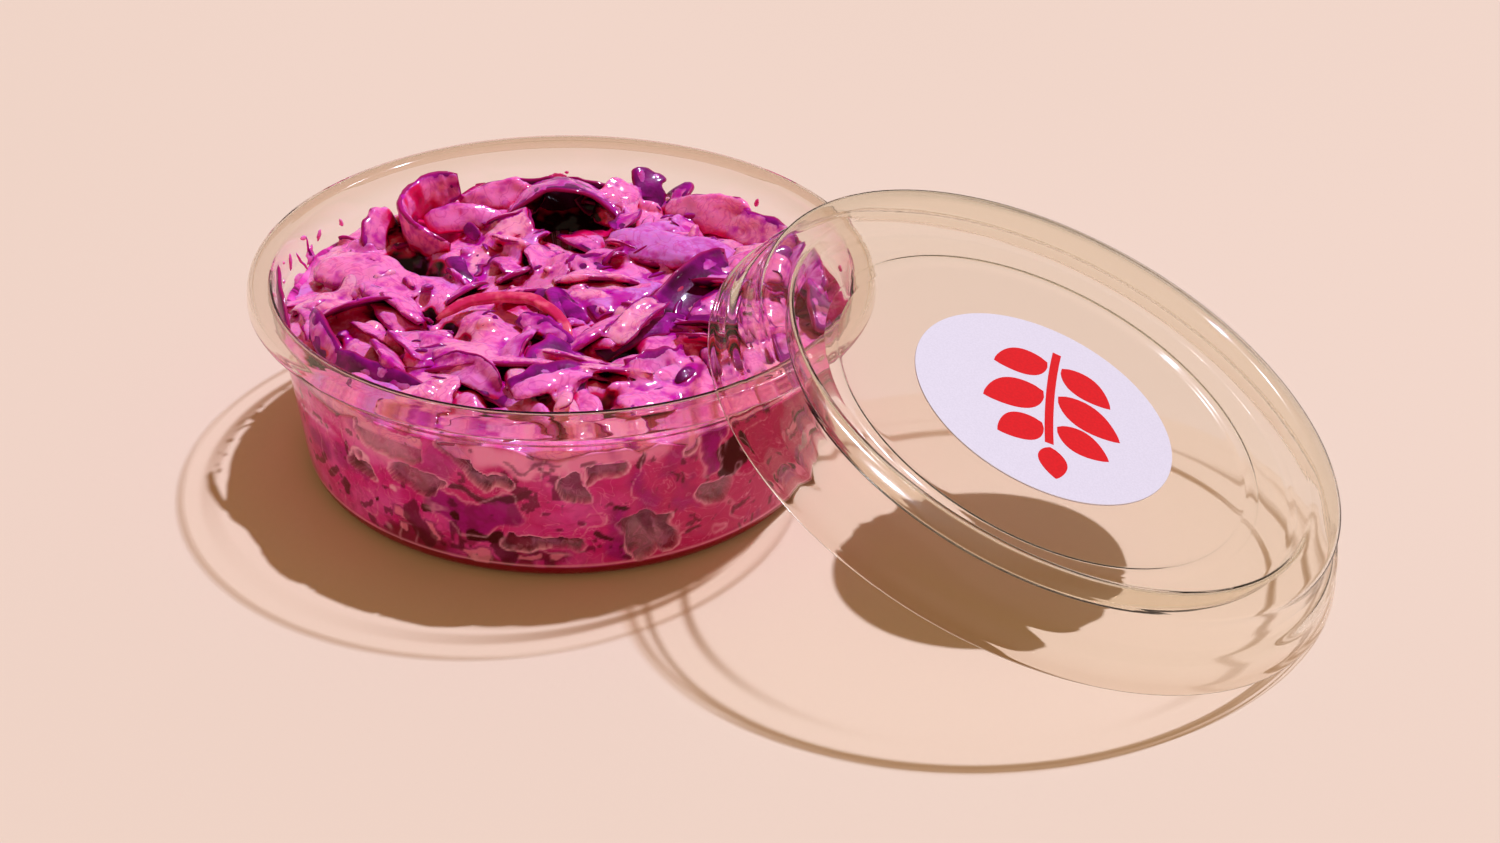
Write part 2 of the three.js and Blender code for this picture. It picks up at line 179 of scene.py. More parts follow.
@dataclass
class Shape:
    """A mesh on its way: corners in mm, faces, and named values at its corners."""

    points: Array
    faces: list[tuple[int, ...]]
    values: dict[str, Array] = field(default_factory=dict)

    @staticmethod
    def joined(shapes: Sequence[Shape]) -> Shape:
        """Several shapes as one, with their values kept.

        Args:
            shapes: the shapes, where a value that one of them lacks counts as 0.

        Returns:
            The whole.
        """
        start, faces = 0, []
        for shape in shapes:
            faces += [tuple(i + start for i in face) for face in shape.faces]
            start += len(shape.points)
        names = {name for shape in shapes for name in shape.values}
        values = {
            name: np.concatenate([s.values.get(name, np.zeros(len(s.points))) for s in shapes])
            for name in sorted(names)
        }
        return Shape(np.concatenate([s.points for s in shapes]), faces, values)

    @staticmethod
    def loops(rings: Array) -> Shape:
        """A tube of quads through rings of corners.

        Args:
            rings: the corners, shape (rings, corners of each, 3).

        Returns:
            The tube with its ends shut.
        """
        count, around, _ = rings.shape
        faces: list[tuple[int, ...]] = []
        for i in range(count - 1):
            for k in range(around):
                n = (k + 1) % around
                faces.append((i * around + k, i * around + n, (i + 1) * around + n, (i + 1) * around + k))
        faces.append(tuple(range(around))[::-1])
        faces.append(tuple(range((count - 1) * around, count * around)))
        return Shape(rings.reshape(-1, 3), faces).outward()

    def outward(self) -> Shape:
        """Turns the faces of a closed shape to point out of it.

        Returns:
            The same shape.
        """
        p, volume = self.points, 0.0
        for size in {len(face) for face in self.faces}:
            f = np.array([face for face in self.faces if len(face) == size])
            for i in range(1, size - 1):
                volume += float(np.einsum("ij,ij->", p[f[:, 0]], np.cross(p[f[:, i]], p[f[:, i + 1]])))
        if volume < 0:
            self.faces = [face[::-1] for face in self.faces]
        return self

    def mesh(self, name: str) -> bpy.types.Mesh:
        """The shape as a Blender mesh in metres.

        Args:
            name: the mesh's name.

        Returns:
            The mesh, smooth, with each value as an attribute of its corners.
        """
        mesh = bpy.data.meshes.new(name)
        mesh.from_pydata((self.points * MM).tolist(), [], self.faces)
        for key, numbers in self.values.items():
            layer = mesh.attributes.new(key, "FLOAT", "POINT")
            layer.data.foreach_set("value", np.asarray(numbers, dtype=np.float32))
        mesh.shade_smooth()
        mesh.update()
        return mesh

    def facing(self) -> Array:
        """Outward direction at each corner.

        Returns:
            Unit vectors, shape (n, 3).
        """
        mesh = self.mesh("probe")
        normal = np.empty(3 * len(self.points))
        mesh.vertices.foreach_get("normal", normal)
        bpy.data.meshes.remove(mesh)
        return normal.reshape(-1, 3)

    def piece(self, name: str, material: bpy.types.Material) -> bpy.types.Object:
        """The shape as a Blender object with one material."""
        return placed(name, self.mesh(name), material)


def polar(radius: Array | float, angle: Array, z: Array | float) -> Array:
    """Corners at a distance from the vertical axis, an angle in radians and a height."""
    return np.stack(np.broadcast_arrays(radius * np.cos(angle), radius * np.sin(angle), z), -1)


def in_scene(name: str, data: bpy.types.ID) -> bpy.types.Object:
    """A mesh, lamp or camera as an object of the scene.

    Args:
        name: the object's name.
        data: what it is made of.

    Returns:
        The object, at the origin.
    """
    thing = bpy.data.objects.new(name, data)
    bpy.context.scene.collection.objects.link(thing)
    return thing


def placed(name: str, mesh: bpy.types.Mesh, material: bpy.types.Material) -> bpy.types.Object:
    """A mesh as an object of the scene, with one material.

    Args:
        name: the object's name.
        mesh: its mesh, with its place in it.
        material: its finish.

    Returns:
        The object.
    """
    mesh.materials.clear()
    mesh.materials.append(material)
    return in_scene(name, mesh)


def clear_of_bounces(thing: bpy.types.Object) -> bpy.types.Object:
    """Lets light that bounces off matt things pass a clear piece, as the lamps' shadows do."""
    thing.visible_diffuse = False
    return thing


def hand_in(thing: bpy.types.Object, slot: str, *nodes: str) -> None:
    """Ties a finished piece to the frame.

    Args:
        thing: the piece.
        slot: the name of the material slot it belongs to, which is only logged.
        nodes: the frame's nodes that it stands for, if any.
    """
    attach(thing, BODY)
    if nodes:
        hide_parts(*nodes)
    faces = len(thing.data.polygons)
    log.info("%s: %d faces, slot %s, stands for %s", thing.name, faces, slot, nodes or "nothing")


def add(
    tree: Tree,
    kind: str,
    sockets: dict[str | int, Socket | bpy.types.ID | str | float | Sequence[float]] | None = None,
    **settings: str | bool,
) -> bpy.types.Node:
    """Adds a node with its settings and links.

    Args:
        tree: the node tree.
        kind: the node's type name.
        sockets: input name or number, with a constant or another node's output for each.
        settings: the node's own properties.

    Returns:
        The node.
    """
    node = tree.nodes.new(kind)
    for key, value in settings.items():
        setattr(node, key, value)
    for key, value in (sockets or {}).items():
        if isinstance(value, Socket):
            tree.links.new(value, node.inputs[key])
        else:
            node.inputs[key].default_value = value
    return node


def new_material(name: str) -> tuple[bpy.types.Material, Tree]:
    """An empty node material.

    Args:
        name: what the real material is.

    Returns:
        The material and its tree.
    """
    material = bpy.data.materials.new(name)
    material.use_nodes = True
    material.node_tree.nodes.clear()
    return material, material.node_tree


# ---- patterns and tones ----------------------------------------------------


@dataclass(frozen=True)
class Span:
    """Where a value starts to count and where it counts in full, with a soft step between."""

    start: float
    full: float
    most: float = 1.0  # what it then counts for

    def of(self, tree: Tree, value: Socket) -> Socket:
        """What a value counts for."""
        sockets = {0: value, 1: self.start, 2: self.full, 3: 0.0, 4: self.most}
        return add(tree, "ShaderNodeMapRange", sockets, interpolation_type="SMOOTHSTEP").outputs[0]


@dataclass(frozen=True)
class Grain:
    """Lumps of noise on the object's own coordinates."""

    size: float  # width of one lump in mm
    detail: float = 2.0  # how many finer layers it has
    twist: float = 0.0  # how strongly it is stirred

    def value(self, tree: Tree) -> Socket:
        """The noise, about 0.3 to 0.7.

        Args:
            tree: the material's node tree.

        Returns:
            The noise's output.
        """
        place = add(tree, "ShaderNodeTexCoord").outputs["Object"]
        sockets = {"Vector": place, "Scale": 1 / (self.size * MM)}
        sockets |= {"Detail": self.detail, "Distortion": self.twist}
        return add(tree, "ShaderNodeTexNoise", sockets).outputs[0]


@dataclass(frozen=True)
class Streaks(Grain):
    """Winding lines, 1 on a line and 0 between, where stirred noise crosses its middle value."""

    twist: float = 1.2
    width: float = 0.05  # of a line, as a part of the noise's span

    def value(self, tree: Tree) -> Socket:
        """The lines.

        Args:
            tree: the material's node tree.

        Returns:
            The output that is 1 on a line.
        """
        off = add(tree, "ShaderNodeMath", {0: super().value(tree), 1: 0.5}, operation="SUBTRACT")
        away = add(tree, "ShaderNodeMath", {0: off.outputs[0]}, operation="ABSOLUTE")
        return Span(self.width, 0.0).of(tree, away.outputs[0])


@dataclass(frozen=True)
class Relief:
    """A fine relief in a surface."""

    grain: Grain
    depth: float  # mm

    def normal(self, tree: Tree) -> Socket:
        """The bumped direction of the surface."""
        sockets = {"Height": self.grain.value(tree), "Strength": 1.0, "Distance": self.depth * MM}
        return add(tree, "ShaderNodeBump", sockets).outputs[0]


@dataclass(frozen=True)
class Tint:
    """A colour over those below it, where a pattern or a named value at the mesh's corners says so."""

    colour: str | Tones
    where: str | Grain
    span: Span | None = None  # without one, the value itself is the colour's share

    def over(self, tree: Tree, under: Socket | Colour) -> Socket:
        """The colour that shows when this one lies over another.

        Args:
            tree: the material's node tree.
            under: the colour below.

        Returns:
            The mixed colour's output.
        """
        if isinstance(self.where, str):
            share = add(tree, "ShaderNodeAttribute", attribute_name=self.where).outputs["Fac"]
        else:
            share = self.where.value(tree)
        if self.span:
            share = self.span.of(tree, share)
        top = linear(self.colour) if isinstance(self.colour, str) else self.colour.mixed(tree)
        return add(tree, "ShaderNodeMix", {0: share, 6: under, 7: top}, data_type="RGBA").outputs[2]


@dataclass(frozen=True)
class Tones:
    """A ground colour and the tints over it, the lowest first."""

    ground: str
    tints: tuple[Tint, ...] = ()

    def mixed(self, tree: Tree) -> Socket | Colour:
        """What shows of them all.

        Args:
            tree: the material's node tree.

        Returns:
            The colour, or the output that carries it.
        """
        colour = linear(self.ground)
        for tint in self.tints:
            colour = tint.over(tree, colour)
        return colour


# ---- finishes --------------------------------------------------------------


@dataclass(frozen=True)
class Finish:
    """A surface for the eye: its tones, how it shines, how milky it is, and its relief."""

    name: str
    tones: Tones
    roughness: float = 0.5
    mirror: float = 0.5  # how strongly it mirrors, where 0.5 is the usual amount
    wet: float = 0.0  # the clear film over it
    wet_roughness: float = 0.03
    milk: float = 0.0  # how much light goes into it and comes out again
    milk_reach: tuple[float, float, float] = (1.0, 0.2, 0.1)  # for red, green and blue
    milk_depth: float = 1.0  # mm
    relief: Relief | None = None
    film: Relief | None = None  # relief of the clear film

    def surface(self, tree: Tree, more: dict[str, float | Colour] | None = None) -> bpy.types.Node:
        """The shader with the finish's settings.

        Args:
            tree: the material's node tree.
            more: further inputs of the shader, if any.

        Returns:
            The shader node.
        """
        sockets = {
            "Base Color": self.tones.mixed(tree),
            "Roughness": self.roughness,
            "Specular IOR Level": self.mirror,
            "Coat Weight": self.wet,
            "Coat Roughness": self.wet_roughness,
        }
        if self.milk:
            sockets |= {"Subsurface Weight": self.milk, "Subsurface Radius": self.milk_reach}
            sockets["Subsurface Scale"] = self.milk_depth * MM
        if self.relief:
            sockets["Normal"] = self.relief.normal(tree)
        if self.film:
            sockets["Coat Normal"] = self.film.normal(tree)
        return add(tree, "ShaderNodeBsdfPrincipled", sockets | (more or {}))

    def material(self) -> bpy.types.Material:
        """The finish as a material.

        Returns:
            The material.
        """
        material, tree = new_material(self.name)
        add(tree, "ShaderNodeOutputMaterial", {"Surface": self.surface(tree).outputs[0]})
        return material


@dataclass(frozen=True)
class ClearPet(Finish):
    """Thermoformed PET sheet: clear, glossy, a little wavy from the mould, warm where seen edge on."""

    name: str = "thermoformed_clear_pet"
    # each face that light crosses warms it by a trace, and the rolled rim, where more sheet lies in the way
    tones: Tones = Tones("#FEFAF8", (Tint("#F2E8DD", "rim"),))
    roughness: float = 0.02
    wet: float = 0.12
    wet_roughness: float = 0.09
    relief: Relief = Relief(Grain(8.0, 1.0), 0.008)  # draw-down waves
    film: Relief = Relief(Grain(8.0, 1.0), 0.008)
    ior: float = 1.27  # below solid PET's, as a thin sheet bends light less than a thick one
    film_ior: float = 1.57  # solid PET's, for the gloss
    glare: float = 0.4  # how strongly the sheet itself mirrors, as a part of the full amount
    shade: str = "#FEFBF8"  # what is left of a lamp's light behind one face
    rim_shade: str = "#8C7A70"  # and where the light grazes the sheet
    grazing: Span = Span(0.4, 1.0)  # from face on at 0 to edge on at 1

    def material(self) -> bpy.types.Material:
        """Refracting gloss for the eye, and tinted openness for the lamps' shadows.

        Returns:
            The material.
        """
        material, tree = new_material(self.name)
        mirrored = (self.glare, self.glare, self.glare, 1.0)
        clear = {"Transmission Weight": 1.0, "Specular Tint": mirrored}
        sheet = self.surface(tree, clear | {"IOR": self.ior, "Coat IOR": self.film_ior})
        turned = add(tree, "ShaderNodeLayerWeight", {"Blend": 0.5}).outputs["Facing"]
        colours = {0: self.grazing.of(tree, turned), 6: linear(self.shade), 7: linear(self.rim_shade)}
        left = add(tree, "ShaderNodeMix", colours, data_type="RGBA").outputs[2]
        opening = add(tree, "ShaderNodeBsdfTransparent", {"Color": left})
        shadow = add(tree, "ShaderNodeLightPath").outputs["Is Shadow Ray"]
        both = add(tree, "ShaderNodeMixShader", {0: shadow, 1: sheet.outputs[0], 2: opening.outputs[0]})
        add(tree, "ShaderNodeOutputMaterial", {"Surface": both.outputs[0]})
        return material


@dataclass(frozen=True)
class CoatedPaper(Finish):
    """White coated label paper, cut from a reel: smooth, barely glossy, a very fine fibre."""

    name: str = "coated_label_paper"
    tones: Tones = Tones("#CEC5D0", (Tint("#D4CBD6", Grain(0.35, 3.0), Span(0.35, 0.65)),))
    roughness: float = 0.55
    relief: Relief = Relief(Grain(0.35, 3.0), 0.01)  # the fibre


@dataclass(frozen=True)
class PrintInk(Finish):
    """Red flexographic ink on paper: even, with the paper's fibre showing as faint mottling."""

    name: str = "red_printing_ink"
    tones: Tones = Tones("#CC000A", (Tint("#D6000C", Grain(0.5, 3.0), Span(0.35, 0.65)),))
    roughness: float = 0.6
    mirror: float = 0.12


@dataclass(frozen=True)
class Dressing(Finish):
    """Pink mayonnaise dressing over cabbage: satin wet gloss, milky, strong magenta where it is thin, with
    shade painted in its creases.
    """

    name: str = "pink_mayonnaise_dressing"
    tones: Tones = Tones(
        "#FF96B8",  # salmon, and its tint follows the leaf below
        (
            Tint("#FF7ABC", "tone", Span(0.0, 0.45)),
            Tint("#DA78D2", "tone", Span(0.5, 1.0)),
            Tint("#F07EC0", Grain(1.6, 4.0), Span(0.5, 0.72, 0.45)),  # cream that isn't quite stirred in
            Tint("#D438B0", Grain(2.4, 4.0), Span(0.52, 0.68, 0.55)),
            Tint("#CC1090", Streaks(4.2, width=0.05), Span(0.0, 1.0, 0.4)),
            Tint("#C4069A", "thin", Span(0.15, 0.85)),  # leaf seen through a thin coat, and on undersides painted shade
            Tint("#DC0058", "deep", Span(0.25, 0.55)),  # red juice in the creases, and painted shade there, following how shut in each corner is
            Tint("#2A0006", "deep", Span(0.6, 0.88)),  # painted shade, near black, between the leaves and in the hollows
        ),
    )
    roughness: float = 0.45
    mirror: float = 0.05
    wet: float = 0.9
    wet_roughness: float = 0.1
    milk: float = 0.65
    milk_reach: tuple[float, float, float] = (1.0, 0.12, 0.3)
    milk_depth: float = 2.0
    relief: Relief = Relief(Grain(0.9, 3.0), 0.06)
    film: Relief = Relief(Grain(1.7, 0.0), 0.05)  # soft ripples that the lamp glints on


@dataclass(frozen=True)
class CabbageLeaf(Finish):
    """Cut red cabbage leaf: waxy and vivid purple where bare, wet, with near black shade painted in its
    creases and hollows.
    """

    name: str = "cut_red_cabbage_leaf"
    tones: Tones = Tones(
        "#A80890",
        (
            Tint("#800670", Grain(3.0, 3.0), Span(0.4, 0.65)),  # older, darker patches
            # painted shade in creases and hollows, over random darker blotches; on the scraps, a random
            # darker tone
            Tint("#34000C", "shade"),
            Tint("#B0085C", "edge", Span(0.55, 0.95, 0.8)),  # the redder, wetter cut edge
        ),
    )
    roughness: float = 0.35
    mirror: float = 0.05
    wet: float = 0.5
    wet_roughness: float = 0.08
    relief: Relief = Relief(Grain(0.6, 3.0), 0.08)  # veins


@dataclass(frozen=True)
class PickledStem(Finish):
    """Pickled stem or carrot strand: coral where it is bare, pink where the juice got in, wet gloss."""

    name: str = "pickled_coral_strand"
    tones: Tones = Tones("#EE5C7C", (Tint("#D41C5C", Grain(3.0, 3.0), Span(0.36, 0.58)),))
    roughness: float = 0.35
    mirror: float = 0.15
    wet: float = 0.4
    wet_roughness: float = 0.14
    milk: float = 0.15
    milk_reach: tuple[float, float, float] = (1.0, 0.3, 0.2)
    milk_depth: float = 0.8
    relief: Relief = Relief(Grain(0.5, 2.0), 0.06)


@dataclass(frozen=True)
class PressedDressing(Finish):
    """The dressing and leaves where they lie against the pot's wall, as a smooth painted-looking mass."""

    name: str = "dressing_pressed_on_plastic"
    tones: Tones = Tones(
        "#DE1C92",
        (
            Tint("#EC50B8", Grain(7.0, 3.0), Span(0.4, 0.62)),  # broad drifts of paler cream
            Tint("#CC2070", "warm"),
            Tint("#B81870", Grain(2.2, 4.0), Span(0.5, 0.75, 0.4)),
            Tint("#B4105C", Streaks(8.0, width=0.045), Span(0.0, 1.0, 0.25)),
            Tint("#FF94CC", Streaks(6.0, twist=2.0, width=0.02), Span(0.0, 1.0, 0.3)),
            Tint("#FF94CC", "salmon"),  # cream thick enough to hide the juice; by the brim it is also painted light
            Tint(Tones("#A80484", (Tint("#900468", Grain(2.6, 4.0), Span(0.42, 0.6)),)), "stain"),
            Tint("#84002C", "murk"),
            Tint("#FA94BC", "pale"),  # slices of stem
            Tint("#4C0014", "dark"),  # leaf skin
            Tint(
                Tones(
                    "#A45A8A",  # hollows, where the cream doesn't touch the plastic: greyed and darkened, partly by painted shade and a painted sheen
                    (
                        Tint("#7A2458", Grain(3.4, 3.0), Span(0.44, 0.6)),
                        Tint("#A27C8A", Grain(9.0, 2.0), Span(0.46, 0.58, 0.5)),
                        Tint("#8C0A3C", Grain(5.0, 2.0), Span(0.56, 0.62, 0.7)),
                        Tint("#D07CA8", Streaks(3.0, width=0.05), Span(0.0, 1.0, 0.5)),
                        # painted shade in the top of each hollow
                        Tint("#5C1434", "roof", Span(0.0, 1.0, 0.75)),
                    ),
                ),
                "gap",
            ),
            Tint("#FFB0D8", "rim"),  # the pale line of cream round a hollow, partly a painted highlight, and a painted highlight along the foot
            Tint("#8C0424", "foot"),  # painted dark red shade along the foot, at the pot's base corner
        ),
    )
    mirror: float = 0.08
    milk: float = 0.25
    milk_reach: tuple[float, float, float] = (1.0, 0.12, 0.5)
    milk_depth: float = 0.9
    relief: Relief = Relief(Grain(1.5, 3.0), 0.1)


@dataclass(frozen=True)
class PaperSweep(Finish):
    """A seamless roll of peach paper, matt, with a very soft drift."""

    name: str = "peach_paper_sweep"
    tones: Tones = Tones("#E0C8B5", (Tint("#DEC6B2", Grain(400.0, 1.0), Span(0.35, 0.65)),))
    roughness: float = 0.85


# ---- turned shapes ---------------------------------------------------------


@dataclass(frozen=True)
class Section:
    """A closed section of (radius, height) corners that is turned about the vertical axis.

    A corner may have a third number: how far its own rounding runs along its sides.
    """

    corners: tuple[tuple[float, ...], ...]
    reach: float = 0.35  # the same for the other corners
    bends: int = 3
    segments: int = 192

    def rounded(self) -> list[tuple[float, float]]:
        """The section with its corners rounded, and a support point beside each rounding.

        Returns:
            The (radius, height) points in order.
        """
        out: list[tuple[float, float]] = []
        total = len(self.corners)
        shares = [k / self.bends for k in range(self.bends + 1)]
        for i, corner in enumerate(self.corners):
            if corner[0] < TINY:
                out.append((0.0, corner[1]))
                continue
            here = np.array(corner[:2])
            reach = corner[2] if len(corner) > 2 else self.reach
            ends = [np.array(self.corners[(i + k) % total][:2]) for k in (-1, 1)]
            lengths = [float(np.linalg.norm(end - here)) for end in ends]
            cuts = [min(reach, 0.46 * length) for length in lengths]
            a, b = [here + (end - here) * cut / length for end, cut, length in zip(ends, cuts, lengths)]
            before, after = [  # only on a side that is long enough to need one
                [here + (end - here) * min(2.2 * cut, 0.45 * length) / length] if length > 4 * reach else []
                for end, cut, length in zip(ends, cuts, lengths)
            ]
            bend = [(1 - t) ** 2 * a + 2 * t * (1 - t) * here + t * t * b for t in shares]
            out += [tuple(point) for point in (*before, *bend, *after)]
        return out

    def turned(self) -> Shape:
        """The closed body of revolution.

        Returns:
            The shape, with one corner where the section meets the axis.
        """
        angles = np.arange(self.segments) * TAU / self.segments
        points: list[Array] = []
        starts: list[tuple[int, bool]] = []
        count = 0
        line = self.rounded()
        for r, z in line:
            pole = r < TINY
            starts.append((count, pole))
            points.append(np.array([[0.0, 0.0, z]]) if pole else polar(r, angles, z))
            count += len(points[-1])
        faces: list[tuple[int, ...]] = []
        for i in range(len(line)):
            (a, a_pole), (b, b_pole) = starts[i], starts[(i + 1) % len(line)]
            if a_pole and b_pole:
                continue
            for k in range(self.segments):
                n = (k + 1) % self.segments
                if a_pole:
                    faces.append((a, b + n, b + k))
                elif b_pole:
                    faces.append((a + k, a + n, b))
                else:
                    faces.append((a + k, a + n, b + n, b + k))
        return Shape(np.concatenate(points), faces).outward()


@dataclass
class Pot:
    """The clear pot: a drawn cup with a stacking step and a lipped flange."""

    height: float = 37.8
    wall: float = 0.6
    floor: float = 0.8
    base_radius: float = 50.4
    bend: float = 3.0  # rounding of the corner between base and wall
    bend_inside: float = 2.5
    step_height: float = 29.8
    step_radius: float = 53.0
    neck_radius: float = 53.6
    flange_inner: float = 54.1
    flange_outer: float = 58.2
    lip_radius: float = 59.0
    lip_drop: float = 3.4
    lip_round: float = 1.9
    rolled_depth: float = 3.8  # how far down from the top the sheet reads as a rolled rim

    def bore(self, z: Array) -> Array:
        """Inner radius at a height, with the corner above the base left sharp.

        Args:
            z: heights in mm.

        Returns:
            One radius a height.
        """
        rise = self.step_radius - self.base_radius + self.wall
        low = self.base_radius - self.wall + (z - self.floor) / (self.step_height - self.floor) * rise
        high = self.neck_radius + (z - self.step_height) / (self.height - self.step_height) * (
            self.flange_inner - self.neck_radius
        )
        return np.where(z <= self.step_height, low, high)

    def inside(self, z: Array) -> Array:
        """Inner radius at a height."""
        turn = np.sqrt(np.clip((z - self.floor) / self.bend_inside, 0, 1))
        return self.bore(z) - self.bend_inside * (1 - turn) ** 2

    def keep_inside(self, points: Array, gap: float) -> None:
        """Draws corners in, towards the axis, where they come nearer to the wall than a gap.

        Args:
            points: the corners, changed in place.
            gap: the least distance in mm.
        """
        reach = self.inside(points[:, 2]) - gap
        radius = np.hypot(points[:, 0], points[:, 1])
        points[:, :2] *= np.minimum(1, reach / np.maximum(radius, TINY))[:, None]

    def section(self) -> Section:
        """The wall's section, from the axis under the base round to the axis above it.

        Returns:
            The section.
        """
        under = self.height - self.wall
        foot = self.height - self.lip_drop
        corners = (
            (0.0, 0.0),
            (self.base_radius, 0.0, self.bend),
            (self.step_radius + self.wall, self.step_height - self.wall),
            (self.neck_radius + self.wall, self.step_height),
            (self.flange_inner + self.wall, under),
            (self.flange_outer - self.wall, under),
            (self.lip_radius - self.wall, foot),
            (self.lip_radius, foot),
            (self.flange_outer + 0.2, self.height, self.lip_round),
            (self.flange_inner + 0.9, self.height, 0.4),
            (self.flange_inner, self.height - 0.5, 0.5),
            (self.neck_radius, self.step_height + self.wall),
            (self.step_radius, self.step_height),
            (self.base_radius - self.wall, self.floor, self.bend_inside),
            (0.0, self.floor),
        )
        return Section(corners, reach=0.8, bends=4, segments=320)

    def build(self) -> bpy.types.Object:
        """The pot as one piece.

        Returns:
            The object.
        """
        shape = self.section().turned()
        radius = np.hypot(shape.points[:, 0], shape.points[:, 1])
        rolled = smooth_step(self.flange_inner - 0.4, self.flange_inner + 0.4, radius)
        start = self.height - self.rolled_depth
        shape.values["rim"] = rolled * smooth_step(start - 0.6, start + 0.6, shape.points[:, 2])
        return clear_of_bounces(shape.piece("clear_pot", ClearPet().material()))


@dataclass
class Lid:
    """The clear lid: foot, skirt, snap shoulder, raised crest and a sunken panel with a ring."""

    wall: float = 0.5
    foot_radius: float = 61.6
    skirt_radius: float = 60.3
    shoulder_height: float = 5.0
    shoulder_radius: float = 59.4
    collar_radius: float = 57.2
    collar_height: float = 5.6
    crest_radius: float = 56.0
    crest_foot: float = 9.5
    height: float = 13.0
    crest_inner: float = 50.0
    crest_middle: float = 52.6
    crest_fall: float = 0.88  # the crest's outer half slopes down by this much
    panel_radius: float = 49.2
    panel_height: float = 6.6
    ring_radius: float = 41.0
    ring_width: float = 1.6
    ring_height: float = 0.5
    tilt: float = math.radians(20.15)
    towards: float = math.radians(-19.2)  # compass direction in which it slopes down
    touch: tuple[float, float] = (140.8, -49.1)  # where its foot stands on the table
    tones: Tones = Tones("#F8F5EC", (Tint("#F0E6DA", "rim"),))  # a little warmer than the pot's

    def place(self) -> Matrix:
        """From the lid's own frame, with its foot on z = 0, to where it leans.

        Returns:
            The matrix, in mm.
        """
        reach = self.foot_radius * math.cos(self.tilt)
        spot = Vector(
            (
                self.touch[0] - reach * math.cos(self.towards),
                self.touch[1] - reach * math.sin(self.towards),
                self.foot_radius * math.sin(self.tilt),
            )
        )
        turn = Matrix.Rotation(self.towards, 4, "Z") @ Matrix.Rotation(self.tilt, 4, "Y")
        return Matrix.Translation(spot) @ turn

    def leaned(self, shape: Shape) -> Shape:
        """Moves a shape from the lid's own frame to where the lid leans.

        Args:
            shape: the shape.

        Returns:
            The same shape.
        """
        matrix = np.array(self.place())
        shape.points = shape.points @ matrix[:3, :3].T + matrix[:3, 3]
        return shape

    def section(self) -> Section:
        """The sheet's section, along its top to the axis and back below.

        Returns:
            The section.
        """
        ring = [self.ring_radius + k * self.ring_width for k in (1, 0.5, -0.5, -1)]
        lift = (0.0, self.ring_height, self.ring_height, 0.0)
        low = self.panel_height - self.wall
        top = [
            (self.foot_radius, 0.0),
            (self.foot_radius - 0.5, 1.0),
            (self.skirt_radius, 1.4),
            (self.shoulder_radius, self.shoulder_height),
            (self.collar_radius, self.collar_height),
            (self.crest_radius, self.crest_foot),
            (self.crest_radius, self.height - self.crest_fall, 0.9),
            (self.crest_middle, self.height, 1.6),
            (self.crest_inner, self.height, 1.6),
            (self.panel_radius, self.panel_height),
            *[(r, self.panel_height + h) for r, h in zip(ring, lift)],
            (0.0, self.panel_height),
        ]
        under = [
            (0.0, low),
            *[(r, low + h) for r, h in zip(ring[::-1], lift[::-1])],
            (self.panel_radius + self.wall, low),
            (self.crest_inner + self.wall, self.height - self.wall, 1.3),
            (self.crest_middle - 0.1, self.height - self.wall, 1.6),
            (self.crest_radius - self.wall, self.height - self.crest_fall - self.wall, 0.6),
            (self.crest_radius - self.wall, self.crest_foot),
            (self.collar_radius - self.wall, self.collar_height),
            (self.shoulder_radius - 0.9, self.shoulder_height - 0.5),
            (self.skirt_radius - self.wall, 1.2),
            (self.foot_radius - 1.0, 0.6),
            (self.foot_radius - self.wall, 0.0),
        ]
        return Section(tuple(top + under), reach=1.2, bends=5)

    def build(self) -> bpy.types.Object:
        """The lid as one piece, leaning.

        Returns:
            The object.
        """
        sheet = ClearPet("thermoformed_clear_pet_lid", self.tones).material()
        shape = self.section().turned()
        radius = np.hypot(shape.points[:, 0], shape.points[:, 1])
        shape.values["rim"] = 0.6 * smooth_step(self.shoulder_radius, self.skirt_radius, radius)
        return clear_of_bounces(self.leaned(shape).piece("clear_lid", sheet))


